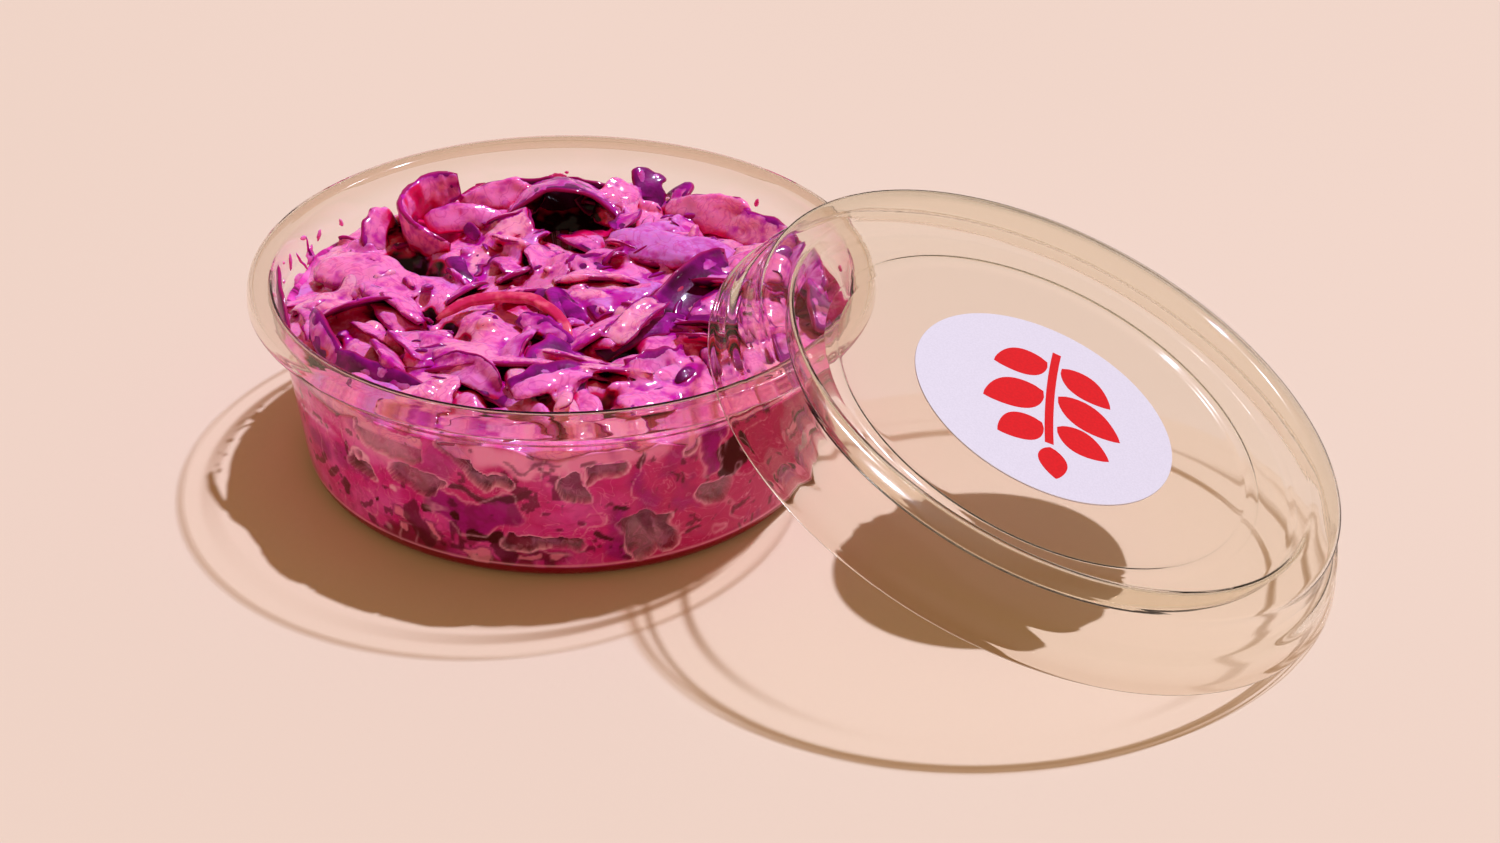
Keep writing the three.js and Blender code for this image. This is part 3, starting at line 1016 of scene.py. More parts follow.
@dataclass
class Label:
    """A round paper label on the lid's panel, printed with a plain leaf sprig."""

    lid: Lid
    radius: float = 25.1
    low: float = 6.63  # underside, just above the panel
    high: float = 6.92
    ink: float = 0.02  # how far the print stands up
    sink: float = 0.01  # how far it reaches into the paper
    line: float = 1.7  # the stalk's width

    def paper(self) -> bpy.types.Object:
        """The paper disc.

        Returns:
            The object.
        """
        corners = ((0.0, self.low), (self.radius, self.low), (self.radius, self.high), (0.0, self.high))
        disc = Section(corners, reach=0.06, bends=2, segments=128).turned()
        return self.lid.leaned(disc).piece("paper_label", CoatedPaper().material())

    def leaf(self, x: float, y: float, length: float, width: float, heading: float) -> Shape:
        """One printed leaf: a pointed oval, as a thin closed slab of ink.

        Args:
            x: where its stalk end is, in the label's plane.
            y: the same, the other way.
            length: from stalk to tip.
            width: at its widest.
            heading: direction of the tip, in degrees.

        Returns:
            The slab in the lid's own frame.
        """
        t = np.linspace(0, 1, 17)
        half = 0.5 * width * np.sin(math.pi * t**0.85) ** 0.8
        outline = np.concatenate(
            [np.stack([t * length, half], 1), np.stack([t[-2:0:-1] * length, -half[-2:0:-1]], 1)]
        )
        angle = math.radians(heading)
        turn = np.array([[math.cos(angle), math.sin(angle)], [-math.sin(angle), math.cos(angle)]])
        flat = outline @ turn + (x, y)
        return self.slab(flat)

    def slab(self, flat: Array) -> Shape:
        """A thin closed slab of ink over the paper.

        Args:
            flat: its outline in the label's plane, shape (n, 2).

        Returns:
            The slab.
        """
        heights = (self.high - self.sink, self.high + self.ink)
        return Shape.loops(np.array([np.column_stack([flat, np.full(len(flat), z)]) for z in heights]))

    def stalk(self, path: Sequence[tuple[float, float]]) -> Shape:
        """A printed line of even width.

        Args:
            path: its middle, in the label's plane.

        Returns:
            The slab in the lid's own frame.
        """
        p = np.array(path)
        along = np.gradient(p, axis=0)
        along /= np.linalg.norm(along, axis=1)[:, None]
        side = np.stack([-along[:, 1], along[:, 0]], 1) * 0.5 * self.line
        return self.slab(np.concatenate([p + side, (p - side)[::-1]]))

    def print(self) -> bpy.types.Object:
        """The sprig: a curved stalk with three pairs of leaves and one at its tip.

        Returns:
            The object.
        """
        bend = [(-2.0 + 0.35 * i + 0.03 * i * i, 17.5 - 3.1 * i) for i in range(10)]
        shapes = [self.stalk(bend)]
        for index, length, width in ((1, 12.0, 7.6), (4, 14.0, 8.2), (7, 11.0, 7.2)):
            heading = -82.0 + 2.0 * index
            for side in (58.0, -58.0):
                way = math.radians(heading + side)
                x, y = bend[index][0] + self.line * math.cos(way), bend[index][1] + self.line * math.sin(way)
                shapes.append(self.leaf(x, y, length, width, heading + side))
        shapes.append(self.leaf(bend[-1][0] + 0.4, bend[-1][1] - 0.9, 8.5, 5.6, -68.0))
        thing = self.lid.leaned(Shape.joined(shapes)).piece("label_print", PrintInk().material())
        thing.data.shade_flat()
        return thing


# ---- coleslaw --------------------------------------------------------------


class Cut(Enum):
    """Kinds of cut pieces, each a piece of its own."""

    LEAF = "cabbage_leaf_pieces"
    STRIP = "cabbage_strips"
    STRAND = "coral_strands"


@dataclass(frozen=True)
class Shred:
    """One cut piece: a strip swept along a bent middle line. Angles are in degrees.

    curl arches it, sweep bends it sideways, cup lifts its long edges, fold creases it along its
    middle, point narrows its far end and roll leans it. tone is the dressing's tint over it, from
    salmon at 0 to lilac at 1, and bare is how little it wears.
    """

    x: float
    y: float
    z: float
    length: float
    width: float
    heading: float = 0.0
    pitch: float = 0.0
    roll: float = 0.0
    curl: float = 0.0
    sweep: float = 0.0
    cup: float = 0.0
    thickness: float = 1.5
    taper: float = 0.35
    point: float = 0.0
    fold: float = 0.0
    ragged: float = 0.16
    tone: float = 0.45
    bare: float = 0.0
    cut: Cut = Cut.LEAF

    def course(self, t: Array) -> tuple[Array, Array]:
        """How its middle line runs.

        Args:
            t: shares of its length, from 0 to 1.

        Returns:
            The direction ahead and the level direction across it, shape (n, 3) each.
        """
        rise = np.radians(self.pitch - self.curl * (t - 0.5))
        turn = np.radians(self.heading + self.sweep * (t - 0.5))
        ahead = np.stack([np.cos(rise) * np.cos(turn), np.cos(rise) * np.sin(turn), np.sin(rise)], 1)
        return ahead, np.stack([-np.sin(turn), np.cos(turn), np.zeros_like(turn)], 1)

    def body(self, grow: float = 0.0, steps: int = 16, corners: int = 14) -> Shape:
        """The piece as a closed shape.

        Args:
            grow: added all round, for the coat.
            steps: rings along it.
            corners: corners of each ring.

        Returns:
            The shape with its "edge" value.
        """
        stride = self.course((np.arange(steps) + 0.5) / steps)[0]
        line = np.concatenate([np.zeros((1, 3)), np.cumsum(stride * self.length / steps, axis=0)])
        line += np.array((self.x, self.y, self.z)) - line[steps // 2]
        t = np.linspace(0, 1, steps + 1)
        along, side = self.course(t)
        up = np.cross(along, side)
        lean = math.radians(self.roll)
        v = side * math.cos(lean) + up * math.sin(lean)
        w = up * math.cos(lean) - side * math.sin(lean)
        # its outline: rounded ends, and long edges that are torn in lumps of 4 mm, each its own way
        key = np.stack([t * self.length, np.full_like(t, self.x * 3.1), np.full_like(t, self.y * 2.7)], 1)
        wide = 0.5 * self.width * (1 - self.taper * (2 * t - 1) ** 4) * (1 - self.point * t**1.6) + grow
        left, right = (self.ragged * noise(key, 4.0, seed, 2)[:, None] for seed in (3, 4))
        wave = 0.035 * self.width * noise(key, 6.0, 5)[:, None]
        ends = np.clip(1 - np.abs(2 * t - 1) ** 14, 0.25, 1)[:, None]
        # its section: an oblong with rounded corners, q across and h up, from -1 to 1
        a = np.arange(corners) * TAU / corners
        q = (np.sign(np.cos(a)) * np.abs(np.cos(a)) ** 0.7)[None, :]
        h = (np.sign(np.sin(a)) * np.abs(np.sin(a)) ** 0.6)[None, :]
        across = q * wide[:, None] * (1 + np.where(q > 0, left, right))
        lift = h * (0.5 * self.thickness * ends + grow) + self.cup * q**2 + self.fold * np.abs(q)
        lift = lift + wave * np.sin(3 * q + 9 * t[:, None] + self.x)
        rings = line[:, None, :] + v[:, None, :] * across[..., None] + w[:, None, :] * lift[..., None]
        if grow:
            rings[0] -= along[0] * grow
            rings[-1] += along[-1] * grow
        shape = Shape.loops(rings)
        edge = np.maximum(np.broadcast_to(np.abs(q) ** 3, across.shape), (np.abs(2 * t - 1) ** 10)[:, None])
        shape.values["edge"] = edge.reshape(-1)
        return shape


LEAF, STRIP, STRAND = Cut.LEAF, Cut.STRIP, Cut.STRAND
NAMED_SHREDS = (
    # back left: the tall folded leaf, what stands in it and beside it
    Shred(-34.5, 26, 32.6, 32, 9.5, 92, 9, 78, sweep=-175, taper=0.45, tone=0.62, bare=0.25),
    Shred(-23, 27, 32.4, 15, 6, 8, 0, 48, 40, tone=0.7),
    Shred(-39, 22, 31.6, 12, 6.5, 78, 18, 50, 30, taper=0.4, ragged=0.4, tone=0.4, bare=0.3),
    # back: the arched leaf over its hollow, and the tips behind it
    Shred(-5, 36, 36.2, 32, 12, 4, 6, -14, 165, thickness=1.3, tone=0.75, bare=0.6),
    Shred(-5, 41, 30.6, 23, 9, 4, 0, 84, 0, thickness=1.0, tone=0.7, bare=1),
    Shred(7, 37, 32.2, 13, 8, 72, 18, 24, 30, tone=0.5),
    Shred(13, 43, 31.4, 12, 8, 84, 38, 20, 30, taper=0.5, ragged=0.45, tone=0.8, bare=0.9),
    Shred(19, 41, 30.6, 11, 7, 70, 30, -30, 40, taper=0.5, ragged=0.45, tone=0.5, bare=0.7),
    Shred(26, 35, 31, 19, 9, -22, 4, 52, 40, tone=0.3),
    Shred(36, 28, 30.6, 17, 8, -38, 0, 48, 40, tone=0.15, bare=0.3),
    Shred(-17, 38, 32, 16, 7, 15, 4, 50, 40, tone=0.6),
    # middle: the thick grey-lilac plank, the coral loop and the purple strips
    Shred(19, 15, 32.6, 25, 8.5, -13, 0, 18, 14, thickness=3, taper=0.15, tone=0.95),
    Shred(-8, -8, 33.7, 33, 2.7, -14, 0, 10, 34, -132, taper=0.7, ragged=0.3, tone=0, bare=1, cut=STRAND),
    Shred(-1, -7, 32.4, 18, 4, -48, 4, 20, 40, tone=0.8, bare=0.9, cut=STRIP),
    Shred(-2, -17, 32, 17, 4.5, -48, 0, 30, 30, tone=0.7, bare=0.5, cut=STRIP),
    Shred(10, -15, 32.4, 25, 5, 48, 0, -25, 25, tone=0.3, bare=0.25),
    Shred(16, -15, 32, 22, 5, 38, 2, 30, 60, tone=0.9, bare=0.9, cut=STRIP),
    # right: dark leaves below the lid
    Shred(24.5, 0, 32.6, 25, 9, 58, 6, 26, 30, cup=1.8, thickness=1.1, tone=0.8, bare=0.95),
    Shred(30, -4, 32.2, 18, 6, 55, 0, 20, 50, tone=0.7, bare=0.5),
    Shred(45, 12, 32.4, 20, 7, -75, 0, 30, 50, tone=0.9, bare=0.5),
    Shred(48, -2, 31.6, 20, 6, -85, 0, -40, 40, tone=0.8, bare=0.7),
    # left: broad pale leaves and the one that stands against the wall
    Shred(-38, 3, 31.9, 24, 14, -38, 0, 6, 24, cup=-1.2, tone=0.35),
    Shred(-32, -7, 31.5, 20, 9, -65, 0, -8, 26, tone=0.5),
    Shred(-43, -19, 31.2, 18, 5, -62, 0, 50, 30, 20, tone=0.7, bare=0.6),
    Shred(-51.5, -12, 33.8, 16, 4.5, -72, -18, 75, 10, 14, thickness=0.9, point=0.4, tone=0.9, bare=1),
    # front
    Shred(-16, -25, 31.6, 17, 9, -18, 0, -12, 45, tone=0.2),
    Shred(-6, -29, 31.8, 34, 7.5, -2, 0, -30, 30, -12, thickness=1.4, ragged=0.22, tone=0.3, bare=0.2),
    Shred(-7, -38, 30.2, 19, 4.5, -42, 0, 30, 35, tone=0.8, bare=0.5, cut=STRIP),
    Shred(5, -39, 30.2, 14, 7, -62, 6, 16, 35, tone=0.6),
    Shred(17, -28, 31, 17, 10, 22, 0, 8, 65, cup=-0.8, tone=0.55),
    Shred(-31, -32, 30.6, 26, 4.5, -34, 0, 55, 24, 22, tone=0.8, bare=0.8),
)


@dataclass(frozen=True)
class Hollow:
    """A dip between the leaves, or the cave under one, with shade painted in it."""

    x: float
    y: float
    radius: float
    depth: float
    shut: float = 0.8  # how dark the shade painted inside it is
    z: float = 32.0  # height of its middle
    roofed: bool = False  # whether a leaf arches over it


@dataclass(frozen=True)
class Scatter:
    """Shreds spread evenly by rule, with their sizes and lie drawn from spans."""

    seed: int
    count: int
    reach: float  # of the outermost one from the middle
    stray: float  # how far each strays round from its place on the spiral, in radians
    spans: tuple[tuple[str, float, float], ...]  # in the order of drawing, where z is above the surface
    ragged: float = 0.16

    def shreds(self, heap: Heap) -> Iterator[tuple[int, Shred]]:
        """The shreds that stay out of the heap's hollows.

        Args:
            heap: what they lie on.

        Yields:
            Each shred after its number.
        """
        dice = Dice(self.seed)
        for i in range(self.count):
            radius = self.reach * math.sqrt((i + 0.5) / self.count)
            angle = i * math.pi * GOLDEN + dice.between(-self.stray, self.stray)
            x, y = radius * math.cos(angle), radius * math.sin(angle)
            drawn = {name: dice.between(low, high) for name, low, high in self.spans}
            drawn["z"] += heap.height_at(x, y)
            shred = Shred(x, y, ragged=self.ragged, **drawn)
            if heap.clear_of_hollows(shred):
                yield i, shred


STREWN = Scatter(
    20241, 30, 49, 0.3,
    (
        ("z", 0.1, 0.8), ("length", 9, 17), ("width", 2, 4.4), ("heading", 0, 360), ("pitch", -8, 8),
        ("roll", -45, 45), ("curl", 25, 75), ("sweep", -40, 40), ("thickness", 0.8, 1.15),
    ),
)
SHARDS = Scatter(
    7, 104, 49.5, 0.5,
    (
        ("z", -0.9, 0.6), ("length", 8, 16), ("width", 4, 10), ("heading", 0, 360), ("pitch", -14, 14),
        ("roll", -42, 42), ("curl", 0, 60), ("sweep", -40, 40), ("cup", -0.9, 0.9),
        ("thickness", 0.6, 1.0), ("taper", 0.05, 0.6), ("point", 0, 0.8), ("fold", -1.2, 1.2),
        ("tone", -0.2, 1.0), ("bare", -1.2, 0.9),
    ),
    ragged=0.3,
)
BITS = Scatter(
    8, 130, 51, 0.6,
    (
        ("z", -1.3, 0.3), ("length", 2.5, 7), ("width", 1.2, 2.8), ("heading", 0, 360), ("pitch", -25, 25),
        ("roll", -60, 60), ("curl", -20, 70), ("sweep", -40, 40), ("thickness", 0.8, 1.2),
        ("taper", 0.2, 0.8), ("point", 0, 0.6), ("tone", -0.2, 0.9), ("bare", -0.9, 0.9),
    ),
    ragged=0.25,
)


@dataclass
class Heap:
    """How the coleslaw lies: its surface, its hollows, and the cut pieces in it."""

    pot: Pot
    middle: float = 31.8
    wall_drop: float = 3.0
    front_drop: float = 1.2
    drop_from: float = 38.0
    slab_foot: float = 21.0
    hollows: tuple[Hollow, ...] = (
        Hollow(-3.5, 32, 9.5, 8, 1.0, 33, True),
        Hollow(-28, 27, 5.5, 4.5, 0.75, 34, True),
        Hollow(-33, 14, 5.5, 5, 1.0),
        Hollow(-28, 10, 4.5, 4, 1.0),
        Hollow(-24.5, -8, 2.6, 4, 1.0),
        Hollow(-21.5, -13, 3.2, 5, 1.0),
        Hollow(-18, -18, 2.8, 4, 0.9),
        Hollow(-9, -12.5, 4.5, 1, 0.0),
        Hollow(24.5, -1, 4.5, 4, 0.9, 35, True),
        Hollow(12.5, -21, 4, 3.5, 0.9),
        Hollow(-42, -23, 4, 4.5, 1.0),
        Hollow(-8, -38, 3.6, 3.5, 0.9),
        Hollow(10, -37.5, 3.5, 3, 0.8),
        Hollow(29, 32, 6, 4, 0.3),
        Hollow(47, 3, 5, 4, 0.8),
    )

    def pits(self, x: Array, y: Array) -> Array:
        """How far the hollows sink the surface."""
        return sum(
            h.depth * np.exp(-2 * ((x - h.x) ** 2 + (y - h.y) ** 2) / h.radius**2) for h in self.hollows
        )

    def surface(self, x: Array, y: Array) -> Array:
        """Height of the heap's bare surface: lumpy, hollowed, and sinking towards the wall.

        Args:
            x: places in mm.
            y: the same, the other way.

        Returns:
            One height a place.
        """
        lumps = 0.9 * np.sin(x / 5.1 + 1.3) * np.cos(y / 6.3 - 0.4)
        lumps = lumps + 0.6 * np.sin((x + y) / 3.7 + 2.0) * np.cos((x - y) / 4.3)
        radius = np.hypot(x, y)
        front = 0.5 * (1 - y / np.maximum(radius, TINY))
        fall = smooth_step(self.drop_from, self.pot.step_radius, radius)
        return self.middle + lumps - (self.wall_drop + self.front_drop * front) * fall - self.pits(x, y)

    def height_at(self, x: float, y: float) -> float:
        """The surface's height at one place."""
        return float(self.surface(np.array([x]), np.array([y]))[0])

    def shadowed(self, points: Array, deep: Array) -> Array:
        """How much shade is painted on the skin: more at the hollows' bottoms, less by the front rim.

        Args:
            points: the skin's corners.
            deep: how shut in they are.

        Returns:
            The darkness, one value a corner.
        """
        x, y = points[:, 0], points[:, 1]
        sunk = smooth_step(1.0, 3.5, self.middle - points[:, 2])
        pit = sum(np.exp(-4 * ((x - h.x) ** 2 + (y - h.y) ** 2) / h.radius**2) for h in self.hollows)
        rim = smooth_step(42, 49, np.hypot(x, y)) * smooth_step(0, -25, y)
        return np.maximum(deep, 0.85 * np.clip(pit, 0, 1) * sunk) * (1 - 0.45 * rim)

    def caved(self, points: Array, normal: Array) -> Array:
        """How much shade is painted on each corner for lying in a hollow and being turned to its middle.

        Args:
            points: the corners.
            normal: outward direction at each.

        Returns:
            One value a corner, from 0 to 1.
        """
        out = np.zeros(len(points))
        for hollow in self.hollows:
            way = np.array((hollow.x, hollow.y, hollow.z)) - points
            away = np.linalg.norm(way, axis=1)
            turned = np.einsum("ij,ij->i", way, normal) / np.maximum(away, TINY)
            reach = (1.25 if hollow.roofed else 1.0) * hollow.radius
            off = np.linalg.norm(way * (1, 1, 0.35), axis=1) + 1.3 * noise(points, 3.2, 25, 2)
            near = smooth_step(1.25 * reach, 0.65 * reach, off)
            if not hollow.roofed:
                near = near * smooth_step(-0.2, 2.0, self.middle - 0.4 - points[:, 2])
            out = np.maximum(out, hollow.shut * near * smooth_step(-0.15, 0.3, turned))
        # less painted shade where a face turns up to the lamp
        lit_from_above = 0.26 * smooth_step(0.55, 0.95, normal[:, 2])
        return out * (1 - lit_from_above)

    def clear_of_hollows(self, shred: Shred) -> bool:
        """Whether a piece stays out of every hollow."""
        reach = 0.22 * shred.length
        return all(math.hypot(shred.x - h.x, shred.y - h.y) > 0.75 * h.radius + reach for h in self.hollows)

    def strewn(self) -> list[Shred]:
        """The scattered larger pieces.

        Returns:
            Narrow shreds, each creased and tinted in its own way.
        """
        return [
            replace(
                shred,
                width=1.6 * shred.width,
                cup=0.9 * math.sin(3 * i),
                fold=0.8 * math.cos(5 * i),
                point=0.5 * ((i * 0.43) % 1),
                tone=(i * 0.37 + 0.2) % 1,
                bare=0.6 * ((i * 0.61) % 1),
            )
            for i, shred in STREWN.shreds(self)
        ]

    def shards(self) -> list[Shred]:
        """Torn pieces of leaf between the larger ones.

        Returns:
            Broad, thin shreds, tilted and folded, calmer by the front rim and better coated at the left.
        """
        out = []
        for _, shard in SHARDS.shreds(self):
            bare = max(0.0, shard.bare) * (0.4 if shard.x < -22 else 1.0)
            shard = replace(shard, tone=min(1.0, max(0.0, shard.tone)), bare=bare)
            if math.hypot(shard.x, shard.y) > 43 and shard.y < 5:
                shard = replace(shard, roll=0.5 * shard.roll, pitch=0.5 * shard.pitch, bare=0.4 * shard.bare)
            out.append(shard)
        return out

    def bits(self) -> list[Shred]:
        """Short scraps, most of them sunk in the dressing.

        Returns:
            Small shreds, with none by the front rim and no stubs at the front.
        """
        out = []
        for _, bit in BITS.shreds(self):
            by_front_rim = math.hypot(bit.x, bit.y) > 45 and bit.y < 0
            stub_at_front = bit.y < -20 and bit.length < 5.2
            if not by_front_rim and not stub_at_front:
                out.append(replace(bit, tone=min(1.0, max(0.0, bit.tone)), bare=max(0.0, bit.bare)))
        return out

    def slab(self) -> Shape:
        """The mass under the cut pieces, from well below the surface up to it.

        Returns:
            The closed shape.
        """
        around, radii = 200, np.linspace(1.2, 52.6, 46)[:, None]
        angles = np.arange(around) * TAU / around
        x, y = radii * np.cos(angles), radii * np.sin(angles)
        front = smooth_step(-10, -40, y)
        near_wall = smooth_step(42, 50, np.hypot(x, y))
        z = self.surface(x, y) - 1.3 + (0.9 + 1.5 * front) * near_wall - 0.5 * self.pits(x, y)
        top = np.stack([x, y, z], 2)
        flat = top.reshape(-1, 3)
        flat[:, 2] += 0.8 * noise(flat * (1, 1, 0), 4.6, 11, 3)
        low = top.copy()
        low[..., 2] = self.slab_foot
        return Shape.loops(np.concatenate([low, top[::-1]]))


@dataclass
class Coat:
    """The dressing's skin: what a thick cream makes of the cut pieces that it covers."""

    heap: Heap
    shreds: list[Shred]
    name: str
    voxel: float
    mass: bool  # whether it also covers the mass below the pieces
    rounds: int = 3  # of smoothing
    grow: float = 0.25  # how thick it lies on a piece
    gap: float = 0.35  # how far it stays from the wall
    floor: float = 25.0  # height below which nothing of it shows

    def remeshed(self) -> tuple[Array, Array]:
        """The pieces, and the mass below them, as one closed skin.

        Returns:
            Its corners and its quads.
        """
        bodies = [shred.body(self.grow * (1.2 - shred.bare), 14, 12) for shred in self.shreds]
        whole = Shape.joined([*([self.heap.slab()] if self.mass else []), *bodies])
        whole.values = {}
        whole.points = whole.points / MM  # the remesh works in units of a millimetre
        mesh = whole.mesh("union")
        thing = in_scene("union", mesh)
        modifier = thing.modifiers.new("skin", "REMESH")
        modifier.mode, modifier.voxel_size, modifier.adaptivity = "VOXEL", self.voxel, 0.0
        done = thing.evaluated_get(bpy.context.evaluated_depsgraph_get()).to_mesh()
        points = np.empty(3 * len(done.vertices))
        done.vertices.foreach_get("co", points)
        quads = np.empty(4 * len(done.polygons), dtype=np.int32)
        done.polygons.foreach_get("vertices", quads)
        bpy.data.objects.remove(thing)
        bpy.data.meshes.remove(mesh)
        return points.reshape(-1, 3), quads.reshape(-1, 4)

    @staticmethod
    def relaxed(points: Array, edges: Array, rounds: int, pull: float) -> Array:
        """Draws each corner towards the middle of its neighbours.

        Args:
            points: the corners.
            edges: pairs of corners that are neighbours.
            rounds: how many times it is done.
            pull: how much of the way they go each time.

        Returns:
            The corners' new places.
        """
        n = len(points)
        start, end = edges.T
        count = np.bincount(edges.ravel(), minlength=n)[:, None]
        for _ in range(rounds):
            total = np.empty_like(points)
            for k in range(3):
                total[:, k] = np.bincount(start, points[end, k], n) + np.bincount(end, points[start, k], n)
            points = points + pull * (total / count - points)
        return points

    @staticmethod
    def sides(quads: Array) -> Array:
        """The four sides of each quad as pairs of corners."""
        return np.concatenate([quads[:, (i, (i + 1) % 4)] for i in range(4)])

    @staticmethod
    def normals(points: Array, quads: Array) -> Array:
        """Outward direction at each corner.

        Args:
            points: the corners.
            quads: the faces.

        Returns:
            Unit vectors, shape (n, 3).
        """
        a, b, c, d = (points[quads[:, i]] for i in range(4))
        across = np.cross(c - a, d - b)
        out = np.zeros_like(points)
        for k in range(3):
            for j in range(4):
                out[:, k] += np.bincount(quads[:, j], across[:, k], len(points))
        return out / np.maximum(np.linalg.norm(out, axis=1), 1e-9)[:, None]

    def worn(self, points: Array) -> tuple[Array, Array, Array, Array]:
        """What the nearest cut piece has at each corner of the skin.

        Args:
            points: the corners.

        Returns:
            How near the piece is, its tone, how bare it is, and how much the corner lies at its edge.
        """
        bodies = [shred.body(0.0, 12, 12) for shred in self.shreds]
        owner = np.repeat(np.arange(len(bodies)), [len(body.faces) for body in bodies])
        whole = Shape.joined(bodies)
        tree = BVHTree.FromPolygons(whole.points.tolist(), whole.faces)
        edge = whole.values["edge"]
        face_edge = np.array([edge[list(face)].mean() for face in whole.faces])
        found = [tree.find_nearest(p) for p in points.tolist()]
        face = np.array([hit[2] for hit in found])
        near = smooth_step(2.2, 0.4, np.array([hit[3] for hit in found]))
        tone = np.array([shred.tone for shred in self.shreds])[owner[face]]
        bare = np.array([shred.bare for shred in self.shreds])[owner[face]]
        return near, tone, near * np.clip(bare, 0, 1), face_edge[face] ** 2 * near

    def shape(self) -> Shape:
        """The skin with its values "tone" and "thin".

        Returns:
            The closed shape.
        """
        points, quads = self.remeshed()
        edges = np.unique(np.sort(self.sides(quads), axis=1), axis=0)
        points = self.relaxed(points, edges, self.rounds, 0.5)
        near, tone, bare, rim = self.worn(points)
        mixed = 0.45 + 0.4 * noise(points, 5.0, 21, 2)  # the dressing's own tone between the pieces
        tone = near * tone + (1 - near) * np.clip(mixed, 0, 1)
        normal = self.normals(points, quads)
        patch = noise(points, 4.0, 31, 2)
        # down-facing corners get a thinner coat and more of the darker leaf tint: partly painted shade under
        # things
        down = smooth_step(0.1, -0.5, normal[:, 2])
        coat = 0.22 + 0.2 * patch + 0.1 * noise(points, 1.7, 33) - 0.5 * bare - 0.35 * down - 0.4 * rim
        coat = np.clip(coat, -0.45, 0.5)
        points = self.relaxed(points + normal * coat[:, None], edges, 2, 0.4)
        bald = 0.03 - 0.35 * patch + 0.4 * noise(points, 1.8, 35, 2)
        thin = np.clip(near * (0.8 * bare + 0.5 * down) + bald + rim * (0.5 + 0.5 * bare), 0, 1)
        self.heap.pot.keep_inside(points, self.gap)
        keep = np.all(points[quads][..., 2] > self.floor, axis=1)
        return self.closed(points, quads[keep], {"tone": tone, "thin": thin})

    def closed(self, points: Array, quads: Array, values: dict[str, Array]) -> Shape:
        """The kept part of the skin, with the loop at its foot shut by a flat fan.

        Args:
            points: all corners.
            quads: the quads that are kept.
            values: the named values of all corners.

        Returns:
            The closed shape.
        """
        used = np.unique(quads)
        renamed = np.full(len(points), -1)
        renamed[used] = np.arange(len(used))
        quads = renamed[quads]
        faces = [tuple(quad) for quad in quads.tolist()]
        forward = {(a, b) for a, b in self.sides(quads).tolist()}
        foot = sorted((a, b) for a, b in forward if (b, a) not in forward)
        shape = Shape(points[used], faces, {name: numbers[used] for name, numbers in values.items()})
        if foot:
            pole = len(used)
            shape.points = np.concatenate([shape.points, [[0.0, 0.0, self.floor]]])
            shape.faces += [(b, a, pole) for a, b in foot]
            shape.values = {name: np.append(numbers, 0.0) for name, numbers in shape.values.items()}
        return shape

    @staticmethod
    def depth(shape: Shape, tree: BVHTree) -> Array:
        """How shut in each corner is, from 0 in the open to 1 in a pit; the finishes paint it as shade.

        Args:
            shape: the skin.
            tree: everything that can shut it in.

        Returns:
            One value a corner.
        """
        normal = shape.facing()
        rays, reach = 14, 9.0
        k = np.arange(rays) + 0.5
        rise = np.sqrt(1 - k / rays * 0.92)  # the flattest ways are left out, as they graze the skin
        fan = polar(np.sqrt(1 - rise**2), k * math.pi * GOLDEN, rise)
        helper = np.where(np.abs(normal[:, 2:3]) < 0.9, [[0.0, 0.0, 1.0]], [[1.0, 0.0, 0.0]])
        u = np.cross(normal, helper)
        u /= np.maximum(np.linalg.norm(u, axis=1), 1e-9)[:, None]
        v = np.cross(normal, u)
        start = (shape.points + 0.15 * normal).tolist()
        shut = np.zeros(len(shape.points))
        for a, b, c in fan.tolist():
            ways = (a * u + b * v + c * normal).tolist()
            hits = [tree.ray_cast(p, d, reach)[3] for p, d in zip(start, ways)]
            shut += np.array([0.0 if hit is None else 1 - (hit / reach) ** 2 for hit in hits])
        return shut / rays


class Mark(Enum):
    """What lies against the pot's wall."""

    GAP = "gap"
    STAIN = "stain"
    DARK = "dark"
    PALE = "pale"
    SALMON = "salmon"


@dataclass(frozen=True)
class Trace:
    """One mark on the wall: a path of (compass degrees, height) and how far it reaches from it."""

    mark: Mark
    reach: float
    path: tuple[tuple[float, float], ...]
    strength: float = 1.0
    outline: float = 0.0  # how bright a line of cream runs round it


